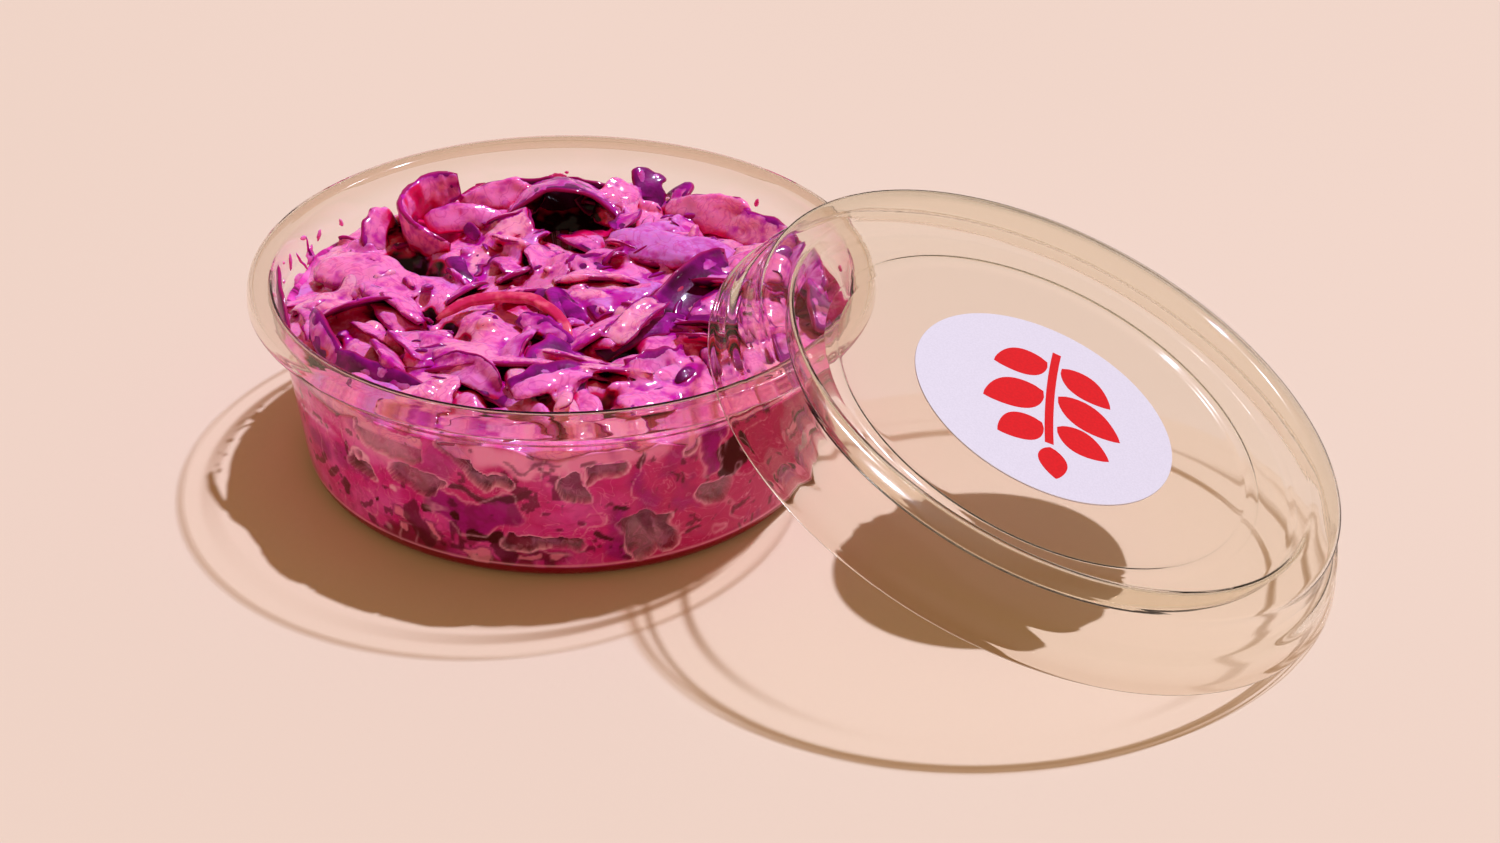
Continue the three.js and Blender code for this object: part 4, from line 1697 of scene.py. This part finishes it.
GAP, STAIN, DARK, PALE, SALMON = Mark.GAP, Mark.STAIN, Mark.DARK, Mark.PALE, Mark.SALMON
WALL_TRACES = (
    # hollows between the wall and the dressing
    Trace(GAP, 3.6, ((-125, 25), (-117, 24.5)), 0.55),
    Trace(GAP, 1.5, ((-131.5, 17.2), (-126.5, 17)), 0.9),
    Trace(GAP, 1.3, ((-106, 28.5), (-103.5, 24.5), (-100, 21.2), (-96.5, 20.6))),
    Trace(GAP, 2.3, ((-119.5, 17.6), (-111, 18)), 0.75),
    Trace(GAP, 1.6, ((-96, 8.4), (-88, 8.6), (-84, 7.4))),
    Trace(GAP, 1.9, ((-84.5, 22), (-82.5, 19)), 0.8),
    Trace(GAP, 1.6, ((-79.5, 23.6), (-75, 23.2)), 0.9),
    Trace(GAP, 2.9, ((-71, 11), (-69, 6)), 0.9),
    Trace(GAP, 2.6, ((-66, 10), (-63.5, 5.5)), 0.9),
    Trace(GAP, 2.4, ((-55.5, 14), (-52, 14.2)), 0.85),
    Trace(GAP, 1.2, ((-60.5, 28), (-60.5, 26.2)), 0.6),
    # leaf skin against the wall
    Trace(DARK, 0.8, ((-112.8, 11.9), (-111.8, 11.9))),
    Trace(DARK, 1.5, ((-103, 9.2), (-99.5, 9))),
    Trace(DARK, 2.2, ((-117, 10.5), (-114.5, 5.5)), 0.75),
    Trace(DARK, 1.8, ((-98.5, 7), (-96.5, 5)), 0.8),
    Trace(DARK, 2.8, ((-51, 23), (-50.5, 18.5))),
    Trace(DARK, 0.5, ((-125.8, 11), (-125.4, 11.1))),
    Trace(DARK, 0.7, ((-74.6, 16.6), (-73.4, 16.4))),
    Trace(DARK, 0.8, ((-107.8, 12.4), (-107.2, 11.6))),
    Trace(DARK, 0.7, ((-107, 18.3), (-100, 17.2), (-94, 17), (-92, 18.8)), 0.85),
    Trace(DARK, 0.6, ((-150, 9), (-143, 12.3)), 0.8),
    Trace(DARK, 0.7, ((-143, 8.5), (-138.5, 11.5)), 0.8),
    Trace(DARK, 1.1, ((-136, 9.8), (-135.4, 8.8)), 0.85),
    Trace(DARK, 0.8, ((-128.8, 9.8), (-128.8, 7.2)), 0.7),
    Trace(DARK, 0.55, ((-133.4, 20.3), (-133.2, 18.7)), 0.8),
    Trace(DARK, 0.5, ((-71, 23), (-68.5, 26)), 0.85),
    Trace(DARK, 0.6, ((-79.5, 10), (-76, 8.8)), 0.95),
    Trace(DARK, 0.3, ((-65, 21), (-64, 19)), 0.8),
    Trace(DARK, 0.3, ((-63.5, 20.5), (-62.5, 18.5)), 0.8),
    Trace(DARK, 0.35, ((-65.5, 12), (-63, 12.3)), 0.8),
    Trace(DARK, 0.35, ((-49, 9.8), (-46, 8.8)), 0.8),
    Trace(DARK, 0.35, ((-47, 5), (-45, 2.5)), 0.8),
    Trace(DARK, 0.5, ((-57, 9.5), (-56.6, 9.2)), 0.8),
    Trace(DARK, 0.5, ((-58.5, 7), (-58, 6.8)), 0.8),
    Trace(DARK, 0.6, ((-83, 13.5), (-82.6, 13.3)), 0.7),
    Trace(DARK, 0.5, ((-77.5, 6.5), (-77.2, 6.3)), 0.8),
    Trace(DARK, 0.4, ((-95.5, 26.3), (-91.5, 25), (-88, 25.4)), 0.6),
    # juice
    Trace(STAIN, 2.4, ((-148, 14), (-141, 15.5)), 0.8),
    Trace(STAIN, 2.6, ((-109.5, 14), (-105, 11.5), (-100, 14.5), (-97, 15.4)), 0.9, 0.5),
    Trace(STAIN, 1.6, ((-74, 15), (-74, 5)), 0.85),
    Trace(STAIN, 1.4, ((-70.5, 21), (-69, 15)), 0.7),
    Trace(STAIN, 3.2, ((-110, 23), (-106, 26)), 0.45),
    Trace(STAIN, 1.7, ((-56, 29), (-55.5, 20)), 0.9, 0.5),
    Trace(STAIN, 1.6, ((-120, 3), (-96, 2.6)), 0.7),
    Trace(STAIN, 1.2, ((-92, 5), (-86, 4.4)), 0.6),
    Trace(STAIN, 1.2, ((-69, 11), (-69, 4)), 0.8),
    # stem slices and bare cream, where the salmon cream by the brim is partly painted light
    Trace(PALE, 1.1, ((-121, 10.5), (-118.5, 9.5)), 0.6),
    Trace(PALE, 0.9, ((-120.5, 6.2), (-119.5, 6)), 0.65),
    Trace(PALE, 0.8, ((-112.4, 8.4), (-112, 6.2)), 0.65),
    Trace(PALE, 1.1, ((-105, 4.6), (-101.5, 4.4)), 0.65),
    Trace(PALE, 0.8, ((-94, 4.4), (-91.5, 4.8)), 0.6),
    Trace(PALE, 0.7, ((-89, 4.6), (-87.5, 4.2)), 0.6),
    Trace(SALMON, 3.2, ((-130, 24), (-120, 22.5)), 0.45),
    Trace(SALMON, 2.6, ((-100, 27.6), (-94.5, 26.8), (-90.5, 25)), 1.0),
    Trace(SALMON, 2.4, ((-88, 25.6), (-80, 26.6), (-68, 27)), 0.8),
)


KINDS_OF_TRACE = (  # for the marks that are strewn by rule: what, and the span of its reach
    (GAP, 1.2, 2.8),
    (DARK, 0.4, 1.3),
    (DARK, 0.3, 0.7),
    (STAIN, 1.2, 2.6),
    (PALE, 0.7, 1.4),
    (SALMON, 1.0, 2.4),
)
BRIM = (  # (compass degrees, height) of the dressing's upper edge on the front of the wall
    (-150, 26.5), (-135, 25), (-130, 26.5), (-124, 28), (-112, 28.4), (-107, 28.2), (-103, 28.6),
    (-98, 29.4), (-94, 28.6), (-90, 26.8), (-86, 26.4), (-80, 28), (-73, 28.3), (-71, 27), (-67, 28.3),
    (-63, 27), (-61, 26.4), (-58, 28), (-50, 28.4), (-45, 27.5),
)


@dataclass
class PressedSide:
    """The heap's core: its side and foot fill the pot, reaching just into the plastic."""

    heap: Heap
    press: float = 0.3  # how far it reaches into the wall
    sink: float = 0.45  # and into the floor
    corner: float = 2.7  # rounding of its foot
    around: int = 1060
    rows: int = 79
    hollow: float = 1.7  # how deep a gap is dented
    extra: int = 150  # marks strewn by rule
    stretch: float = 0.9  # mm of wall for each degree
    core_top: float = 22.5

    def reach(self, z: Array) -> Array:
        """Its outer radius at a height, with the foot's corner rounded."""
        turn = np.sqrt(np.clip((z - self.press) / (self.corner + 0.2), 0, 1))
        return self.heap.pot.bore(z) + self.press - self.corner * (1 - turn) ** 2

    def brim(self, degrees: Array) -> Array:
        """Height of the dressing's upper edge on the wall.

        Args:
            degrees: compass degrees.

        Returns:
            One height for each.
        """
        seen = np.interp(degrees, *np.array(BRIM).T)
        wild = 28.2 + 1.4 * noise(polar(50, np.radians(degrees), 0), 9.0, 41, 2)
        weight = smooth_step(-156, -148, degrees) * smooth_step(-38, -46, degrees)
        return weight * seen + (1 - weight) * wild

    def traces(self) -> list[Trace]:
        """The named marks, and like ones all round the rest of the wall.

        Returns:
            All marks.
        """
        dice, out = Dice(99), list(WALL_TRACES)
        for i in range(self.extra):
            mark, low, high = KINDS_OF_TRACE[i % len(KINDS_OF_TRACE)]
            az, z = dice.between(-42, 208), dice.between(3, 26)
            run, lean = dice.between(0.5, 5), dice.between(0, math.pi)
            rise = self.stretch * run * math.sin(lean) * (1 if dice.roll() < 0.5 else -1)
            path = ((az, z), (az + run * math.cos(lean), z + rise))
            out.append(Trace(mark, dice.between(low, high), path, dice.between(0.6, 1)))
        return out

    @staticmethod
    def away(place: Array, path: Array) -> Array:
        """How far places on the wall are from a path.

        Args:
            place: the places, shape (n, 2).
            path: its corners, shape (m, 2).

        Returns:
            One distance a place.
        """
        near = np.full(len(place), np.inf)
        for a, b in zip(path[:-1], path[1:]):
            ab = b - a
            t = np.clip(((place - a) @ ab) / max(float(ab @ ab), 1e-9), 0, 1)
            near = np.minimum(near, np.linalg.norm(place - a - t[:, None] * ab, axis=1))
        return near

    def marked(self, p: Array) -> dict[str, Array]:
        """What the marks alone give.

        Args:
            p: places on the unrolled wall in mm, shape (n, 3) with 0 as the last.

        Returns:
            One array for each mark, "roof" for the shaded top of a hollow, and "rim" for the line round it.
        """
        shift = np.stack([noise(p, 3.6, seed) for seed in (51, 52)], 1)
        fine = np.stack([noise(p, 1.1, seed) for seed in (53, 54)], 1)
        place = p[:, :2] + 1.1 * shift + 0.25 * fine
        # how strongly each stretch of line round a hollow is lit: a painted highlight, varied at random
        lit = 0.3 + 0.7 * smooth_step(-0.5, 0.4, noise(p, 5.0, 62))
        out = {name: np.zeros(len(p)) for name in ("roof", "rim", *[mark.value for mark in Mark])}

        def lay(name: str, value: Array) -> None:
            """Lays a value over what is there already."""
            out[name] = np.maximum(out[name], value)

        for trace in self.traces():
            path = np.array(trace.path) * (self.stretch, 1)
            near = self.away(place, path)
            soft = {GAP: 0.17, DARK: 0.15, PALE: 0.16}.get(trace.mark, 0.7 if trace.outline else 1.2)
            inside = trace.strength * smooth_step(trace.reach + soft, trace.reach - soft, near)
            lay(trace.mark.value, inside)
            if trace.mark is GAP:
                above = place[:, 1] - np.interp(place[:, 0], *path[np.argsort(path[:, 0])].T)
                lay("roof", inside * smooth_step(-0.4 * trace.reach, 0.9 * trace.reach, above))
            if trace.mark is PALE:  # a thin skin round a slice of stem
                lay("dark", 0.8 * trace.strength * np.exp(-(((near - trace.reach - 0.25) / 0.25) ** 2)))
            line = trace.outline or (1.0 if trace.mark is GAP else 0.0)
            if line:
                lay("rim", line * lit * np.exp(-(((near - trace.reach - 0.32) / 0.2) ** 2)))
        return out

    def values(self, degrees: Array, z: Array) -> dict[str, Array]:
        """All values at places on the wall: the marks, and what the dressing has everywhere.

        Args:
            degrees: compass degrees.
            z: height in mm.

        Returns:
            One array for each value that the finish reads.
        """
        p = np.stack([degrees * self.stretch, z, np.zeros_like(degrees)], 1)
        out = self.marked(p)
        swirl = np.exp(-((noise(p, 5.0, 57, 2) / 0.05) ** 2)) * smooth_step(0.0, 0.6, noise(p, 7.0, 58))
        rim = np.maximum(out["rim"], 0.45 * swirl) * (1 - 0.9 * smooth_step(0.3, 0.9, out["gap"]))
        # a painted highlight 3 mm up, where the pot's base corner catches the light
        out["rim"] = np.maximum(rim, 0.75 * np.exp(-(((z - 3.0) / 0.22) ** 2)))
        out["stain"] = np.maximum(out["stain"], 0.6 * smooth_step(0.2, 0.8, noise(p, 6.0, 55, 3)))
        flecks = smooth_step(0.95, 1.1, noise(p, 2.4, 56) + 0.35 * noise(p, 0.9, 59))
        out["dark"] = np.maximum(out["dark"], 0.7 * flecks) * smooth_step(1.0, 2.4, z)
        out["gap"] *= smooth_step(2.0, 3.0, z)
        right = smooth_step(-92, -62, degrees) * smooth_step(20, -20, degrees)
        out["warm"] = np.maximum(right, smooth_step(-0.1, 0.7, noise(p, 26.0, 60)))
        low = smooth_step(9.5, 5.0, z + 1.5 * noise(p, 4.0, 63, 2))
        low = low * smooth_step(-130, -122, degrees) * smooth_step(-84, -90, degrees)
        out["murk"] = 0.85 * low * smooth_step(-0.5, 0.1, noise(p, 3.2, 64, 2))
        # painted shade: a dark red band below about 2.6 mm
        out["foot"] = smooth_step(2.75, 2.45, z)
        return out

    def shape(self) -> Shape:
        """The core as a closed shape, from the middle of its foot round to the middle of its top.

        Returns:
            The shape with its values.
        """
        degrees = np.arange(self.around) * 360 / self.around - 180
        brim = self.brim(degrees)
        low = self.heap.pot.floor - self.sink
        edge = float(self.reach(np.array([low]))[0])
        # each row's radius, its height, and the height at which it reads the marks
        rows = [(r, low, low - (edge - r)) for r in (3.0, *np.linspace(10, edge - 0.6, 6))]
        for k in range(self.rows + 1):
            z = low + (brim - low) * (k / self.rows) ** 1.15
            rows.append((self.reach(z), z, z))
        for inset, drop in ((0.5, -0.25), (1.2, 0.1), (2.6, 1.4), (6.0, 3.4)):
            rows.append((self.reach(brim) - inset, brim - drop, brim - drop))
        rows.append((4.0, self.core_top, self.core_top))
        shape = Shape.loops(np.array([polar(r, np.radians(degrees), z) for r, z, _ in rows]))
        height = np.concatenate([np.broadcast_to(mark, degrees.shape) for _, _, mark in rows])
        shape.values = self.values(np.tile(degrees, len(rows)), height)
        radius = np.hypot(shape.points[:, 0], shape.points[:, 1])
        on_side = (height > low + 0.6) & (radius > 46)
        dent = shape.values["gap"] * self.hollow * (1 + 0.4 * noise(shape.points, 2.5, 61, 2))
        shape.points[:, :2] *= (1 - np.where(on_side, dent, 0) / np.maximum(radius, 1))[:, None]
        return shape

    def build(self) -> bpy.types.Object:
        """The core as one piece."""
        return self.shape().piece("pressed_core", PressedDressing().material())


@dataclass(frozen=True)
class Smear:
    """A thin dab of dressing on the pot's inner wall: compass degrees, height, and sizes in mm."""

    way: float
    z: float
    wide: float
    high: float
    lean: float = 0.0
    thin: float = 0.2  # how much juice and how little cream it is


SMEARS = (
    # left, above the pale leaves
    Smear(166, 34.0, 1.1, 0.5, 20, 0.3),
    Smear(165, 29.8, 2.6, 0.9, -30, 0.5),
    Smear(174, 32.5, 0.7, 1.6, 15, 0.6),
    Smear(172, 27.8, 3.4, 1.4, 10, 0.4),
    Smear(165, 29.6, 0.4, 3.6, 4, 0.9),
    Smear(169, 30.2, 0.35, 2.4, -25, 0.7),
    Smear(180, 31.2, 0.5, 0.4),
    Smear(183, 33.0, 0.4, 0.3),
    Smear(178, 34.2, 0.3, 0.3),
    Smear(160, 32.0, 0.6, 1.2, 40, 0.5),
    Smear(186, 31.5, 0.8, 0.5, 30, 0.4),
    Smear(152, 31.4, 0.5, 0.9, -20),
    # back and right
    Smear(97, 30.2, 1.8, 0.6, 4, 0.5),
    Smear(95, 30.9, 0.5, 0.3, 0, 0.6),
    Smear(48, 31.6, 0.6, 1.1, 20, 0.5),
    Smear(12, 31.8, 1.2, 0.6, -8, 0.3),
)


@dataclass
class SmearedWall:
    """The dabs that splashed on the pot's inner wall, above the dressing."""

    pot: Pot
    thickness: float = 0.35
    corners: int = 20

    def dab(self, smear: Smear) -> Shape:
        """One dab: a low pillow with a ragged outline, its back just in the plastic.

        Args:
            smear: where it is and how large.

        Returns:
            The closed shape with the values that the dressing's finish reads.
        """
        a = np.arange(self.corners) * TAU / self.corners
        key = np.stack([3 * np.cos(a) + smear.way, 3 * np.sin(a) + smear.z, np.zeros_like(a)], 1)
        edge = 1 + 0.3 * noise(key, 1.6, 81, 2)
        lean, rings = math.radians(smear.lean), []
        for share, depth in ((0.05, -0.12), (1.0, -0.12), (1.0, 0.02), (0.8, 0.7), (0.4, 0.95), (0.05, 1.0)):
            u, w = share * smear.wide * np.cos(a) * edge, share * smear.high * np.sin(a) * edge
            z = smear.z + u * math.sin(lean) + w * math.cos(lean)
            radius = self.pot.inside(z) - depth * self.thickness
            way = math.radians(smear.way) + (u * math.cos(lean) - w * math.sin(lean)) / radius
            rings.append(polar(radius, way, z))
        shape = Shape.loops(np.array(rings))
        values = {"tone": 0.3, "thin": smear.thin, "deep": 0.35 * smear.thin}
        shape.values = {name: np.full(len(shape.points), value) for name, value in values.items()}
        return shape

    def build(self, finish: bpy.types.Material) -> bpy.types.Object:
        """All dabs as one piece."""
        return Shape.joined([self.dab(smear) for smear in SMEARS]).piece("dressing_smears", finish)


@dataclass
class Coleslaw:
    """Everything edible, ready to tie to the frame."""

    pot: Pot
    gap: float = 0.25  # how far the cut pieces stay from the wall

    def pieces(self, heap: Heap, shreds: list[Shred], tree: BVHTree) -> list[bpy.types.Object]:
        """The cut pieces, one object for each kind.

        Args:
            heap: what they lie in.
            shreds: all of them.
            tree: what can shut them in, for the shade painted in their creases.

        Returns:
            The objects.
        """
        rib = CabbageLeaf(name="cut_red_cabbage_rib")
        finishes = {LEAF: CabbageLeaf(), STRIP: rib, STRAND: PickledStem()}
        out = []
        for cut, finish in finishes.items():
            whole = Shape.joined([shred.body(0.0, 18, 14) for shred in shreds if shred.cut is cut])
            blotches = np.clip(0.15 + 0.5 * noise(whole.points, 4.0, 71, 2), 0, 1)
            self.pot.keep_inside(whole.points, self.gap)
            # painted shade, near black, in creases and hollows, over random blotches
            folds = smooth_step(0.4, 0.7, Coat.depth(whole, tree))
            folds = np.maximum(folds, heap.caved(whole.points, whole.facing()))
            whole.values["shade"] = np.maximum(blotches, folds)
            out.append(whole.piece(cut.value, finish.material()))
        return out

    def build(self) -> None:
        """Makes the core, the cut pieces and the dressing, and ties them to the frame."""
        heap = Heap(self.pot)
        leaves, shards = [*NAMED_SHREDS, *heap.strewn()], [*heap.shards(), *heap.bits()]
        hand_in(PressedSide(heap).build(), "coleslaw", "coleslaw")
        coats = (
            Coat(heap, shards, "pink_dressing", voxel=0.5, mass=True),
            Coat(heap, leaves, "dressing_on_leaves", voxel=0.43, mass=False, rounds=2),
        )
        skins = {coat.name: coat.shape() for coat in coats}
        both = Shape.joined(list(skins.values()))
        tree = BVHTree.FromPolygons(both.points.tolist(), both.faces)
        for thing in self.pieces(heap, leaves + shards, tree):
            hand_in(thing, "coleslaw")
        finish = Dressing().material()
        for name, skin in skins.items():
            # painted shade: how shut in each corner is, deeper in the hollows and caves
            deep = heap.shadowed(skin.points, Coat.depth(skin, tree))
            skin.values["deep"] = np.maximum(deep, heap.caved(skin.points, skin.facing()))
            hand_in(skin.piece(name, finish), "coleslaw")
        hand_in(SmearedWall(self.pot).build(finish), "coleslaw")
        leaf = CabbageLeaf(name="fine_red_cabbage_scraps").material()
        hand_in(Scraps().build(skins["pink_dressing"], leaf), "coleslaw")


@dataclass
class Scraps:
    """Fine scraps of leaf that Geometry Nodes strew over the dressing."""

    density: float = 12000.0  # for each square metre that lies open and level
    smallest: float = 0.55  # of a cut's full size
    largest: float = 1.25
    seed: int = 12

    def kinds(self) -> list[bpy.types.Object]:
        """The three small cuts that are strewn.

        Returns:
            One object for each.
        """
        cuts = (
            Shred(0, 0, 0.1, 3.4, 0.8, curl=50, sweep=40, thickness=0.35, taper=0.6),
            Shred(0, 0, 0.1, 2.2, 1.3, curl=20, thickness=0.3, taper=0.3, point=0.6, ragged=0.3),
            Shred(0, 0, 0.1, 4.6, 0.6, curl=70, sweep=-60, thickness=0.4, taper=0.5),
        )
        return [in_scene(f"cut_{i}", cut.body(0.0, 5, 6).mesh(f"cut_{i}")) for i, cut in enumerate(cuts)]

    def tree(self, cuts: Sequence[bpy.types.Object], finish: bpy.types.Material) -> Tree:
        """The node tree that strews the cuts.

        Args:
            cuts: the objects that it picks from.
            finish: their material.

        Returns:
            The tree, with named inputs for density, sizes and seed.
        """
        tree = bpy.data.node_groups.new("strewn_scraps", "GeometryNodeTree")
        face = tree.interface
        face.new_socket("Bed", in_out="INPUT", socket_type="NodeSocketGeometry")
        for name in ("Density", "Smallest", "Largest"):
            face.new_socket(name, in_out="INPUT", socket_type="NodeSocketFloat")
        face.new_socket("Seed", in_out="INPUT", socket_type="NodeSocketInt")
        face.new_socket("Scraps", in_out="OUTPUT", socket_type="NodeSocketGeometry")
        given = add(tree, "NodeGroupInput").outputs
        deep = add(tree, "GeometryNodeInputNamedAttribute", {"Name": "deep"}, data_type="FLOAT").outputs[0]
        normal = add(tree, "GeometryNodeInputNormal").outputs[0]
        level = add(tree, "ShaderNodeSeparateXYZ", {0: normal}).outputs[2]
        open_share = add(tree, "ShaderNodeMapRange", {0: deep, 1: 0.5, 2: 0.2}).outputs[0]
        level_share = add(tree, "ShaderNodeMapRange", {0: level, 1: 0.1, 2: 0.6}).outputs[0]
        share = add(tree, "ShaderNodeMath", {0: open_share, 1: level_share}, operation="MULTIPLY").outputs[0]
        sockets = {0: share, 1: given["Density"]}
        density = add(tree, "ShaderNodeMath", sockets, operation="MULTIPLY").outputs[0]
        spots = add(
            tree,
            "GeometryNodeDistributePointsOnFaces",
            {"Mesh": given["Bed"], "Density": density, "Seed": given["Seed"]},
            distribute_method="RANDOM",
        ).outputs
        kinds = add(tree, "GeometryNodeJoinGeometry")
        for cut in cuts:
            single = add(tree, "GeometryNodeObjectInfo", {"Object": cut, "As Instance": True})
            tree.links.new(single.outputs["Geometry"], kinds.inputs[0])
        turn = add(
            tree,
            "FunctionNodeRandomValue",
            {0: (-0.5, -0.5, -math.pi), 1: (0.5, 0.5, math.pi), 8: given["Seed"]},
            data_type="FLOAT_VECTOR",
        ).outputs[0]
        turned = add(
            tree,
            "FunctionNodeRotateRotation",
            {0: spots["Rotation"], 1: add(tree, "FunctionNodeEulerToRotation", {0: turn}).outputs[0]},
            rotation_space="LOCAL",
        ).outputs[0]
        which = {4: 0, 5: len(cuts) - 1, 8: given["Seed"]}
        size = {2: given["Smallest"], 3: given["Largest"], 8: given["Seed"]}
        strewn = add(
            tree,
            "GeometryNodeInstanceOnPoints",
            {
                "Points": spots["Points"],
                "Instance": kinds.outputs[0],
                "Pick Instance": True,
                "Instance Index": add(tree, "FunctionNodeRandomValue", which, data_type="INT").outputs[2],
                "Rotation": turned,
                "Scale": add(tree, "FunctionNodeRandomValue", size, data_type="FLOAT").outputs[1],
            },
        ).outputs[0]
        shade = add(tree, "FunctionNodeRandomValue", {2: 0.0, 3: 0.45, 8: 3}, data_type="FLOAT").outputs[1]
        shaded = add(
            tree,
            "GeometryNodeStoreNamedAttribute",
            {"Geometry": strewn, "Name": "shade", "Value": shade},
            data_type="FLOAT",
            domain="INSTANCE",
        ).outputs[0]
        real = add(tree, "GeometryNodeRealizeInstances", {0: shaded}).outputs[0]
        dressed = add(tree, "GeometryNodeSetMaterial", {"Geometry": real, "Material": finish}).outputs[0]
        add(tree, "NodeGroupOutput", {0: dressed})
        return tree

    def build(self, bed: Shape, finish: bpy.types.Material) -> bpy.types.Object:
        """The scraps as one plain mesh.

        Args:
            bed: the skin that they lie on, with its "deep" value.
            finish: their material.

        Returns:
            The piece.
        """
        cuts = self.kinds()
        thing = in_scene("bed", bed.mesh("bed"))
        modifier = thing.modifiers.new("scraps", "NODES")
        modifier.node_group = self.tree(cuts, finish)
        values = {"Density": self.density, "Smallest": self.smallest, "Largest": self.largest}
        values["Seed"] = self.seed
        for item in modifier.node_group.interface.items_tree:
            if item.name in values:
                modifier[item.identifier] = values[item.name]
        done = thing.evaluated_get(bpy.context.evaluated_depsgraph_get())
        mesh = bpy.data.meshes.new_from_object(done)
        for spare in (thing, *cuts):
            bpy.data.objects.remove(spare)
        mesh.shade_smooth()
        return placed("fine_leaf_scraps", mesh, finish)


# ---- studio ----------------------------------------------------------------


@dataclass
class Studio:
    """A peach paper sweep, one hard key lamp, the soft glow of the room, and the camera."""

    size: float = 3000.0  # of the paper
    key_towards: tuple[float, float, float] = (0.366, 0.42, 1.0)
    key_energy: float = 3.5
    key_spread: float = math.radians(1.6)  # a small lamp, for hard shadows
    key_colour: tuple[float, float, float] = (0.815, 0.91, 1.145)
    glow_low: Colour = (1.0, 0.75, 0.48, 1.0)  # of the room, level with the table
    glow_high: Colour = (0.35, 0.23, 0.095, 1.0)  # and above it
    glow_mirrored: Colour = (0.17, 0.125, 0.09, 1.0)  # as wet and glossy things mirror it
    glow_through: Colour = (0.66, 0.5, 0.38, 1.0)  # and as clear sheet shows it
    rising: Span = Span(0.0, 0.5)  # from the low to the high glow
    lens: float = 49.35  # mm, for a sensor 36 mm wide
    spot: tuple[float, float, float] = (35.94, -345.39, 216.98)
    down: float = math.radians(31.76)
    roll: float = math.radians(1.81)

    def floor(self) -> None:
        """The paper that everything stands on."""
        h = self.size / 2
        points = np.array([(-h, -h, 0), (h, -h, 0), (h, h, 0), (-h, h, 0)], dtype=float)
        Shape(points, [(0, 1, 2, 3)]).piece("paper_sweep", PaperSweep().material())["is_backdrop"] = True

    def key(self) -> None:
        """The lamp."""
        lamp = bpy.data.lights.new("key", "SUN")
        lamp.energy, lamp.angle, lamp.color = self.key_energy, self.key_spread, self.key_colour
        thing = in_scene("key", lamp)
        thing.rotation_mode = "QUATERNION"
        thing.rotation_quaternion = Vector(self.key_towards).to_track_quat("Z", "Y")

    def room(self) -> None:
        """The room's glow, dimmer where it is mirrored or seen through clear sheet."""
        world = bpy.data.worlds.new("room")
        world.use_nodes = True
        tree = world.node_tree
        tree.nodes.clear()
        way = add(tree, "ShaderNodeTexCoord").outputs["Generated"]
        height = add(tree, "ShaderNodeSeparateXYZ", {0: way}).outputs["Z"]
        path = add(tree, "ShaderNodeLightPath").outputs
        glow = self.glow_low
        for share, over in (
            (self.rising.of(tree, height), self.glow_high),
            (path["Is Glossy Ray"], self.glow_mirrored),
            (path["Is Transmission Ray"], self.glow_through),
        ):
            glow = add(tree, "ShaderNodeMix", {0: share, 6: glow, 7: over}, data_type="RGBA").outputs[2]
        light = add(tree, "ShaderNodeBackground", {"Color": glow, "Strength": 1.0})
        add(tree, "ShaderNodeOutputWorld", {"Surface": light.outputs[0]})
        bpy.context.scene.world = world

    def camera(self) -> None:
        """The camera, from the front and above."""
        lens = bpy.data.cameras.new("camera")
        lens.lens, lens.sensor_width, lens.clip_start = self.lens, 36.0, 0.01
        ahead = Vector((0.0, math.cos(self.down), -math.sin(self.down)))
        right = Vector((1.0, 0.0, 0.0))
        up = right.cross(ahead)
        x = right * math.cos(self.roll) + up * math.sin(self.roll)
        y = up * math.cos(self.roll) - right * math.sin(self.roll)
        thing = in_scene("camera", lens)
        thing.matrix_world = Matrix((x, y, -ahead)).transposed().to_4x4()
        thing.matrix_world.translation = Vector(self.spot) * MM
        bpy.context.scene.camera = thing

    def build(self) -> None:
        """Sets up the stage."""
        self.floor()
        self.key()
        self.room()
        self.camera()
        bpy.context.scene.view_settings.view_transform = "Standard"


def main() -> None:
    """Builds the pieces in order."""
    logging.basicConfig(level=logging.INFO, format="%(name)s: %(message)s")
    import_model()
    solid_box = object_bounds()
    Studio().build()
    pot, lid = Pot(), Lid()
    hand_in(pot.build(), "tub", "tub")
    hand_in(lid.build(), "lid", "lid")
    label = Label(lid)
    hand_in(label.paper(), "label", "label")
    hand_in(label.print(), "label")
    Coleslaw(pot).build()
    boxes = {"cad": solid_box, "visual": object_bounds()}
    {name: [list(map(float, corner)) for corner in box] for name, box in boxes.items()}
    log.info("boxes written")


if __name__ == "__main__":
    main()
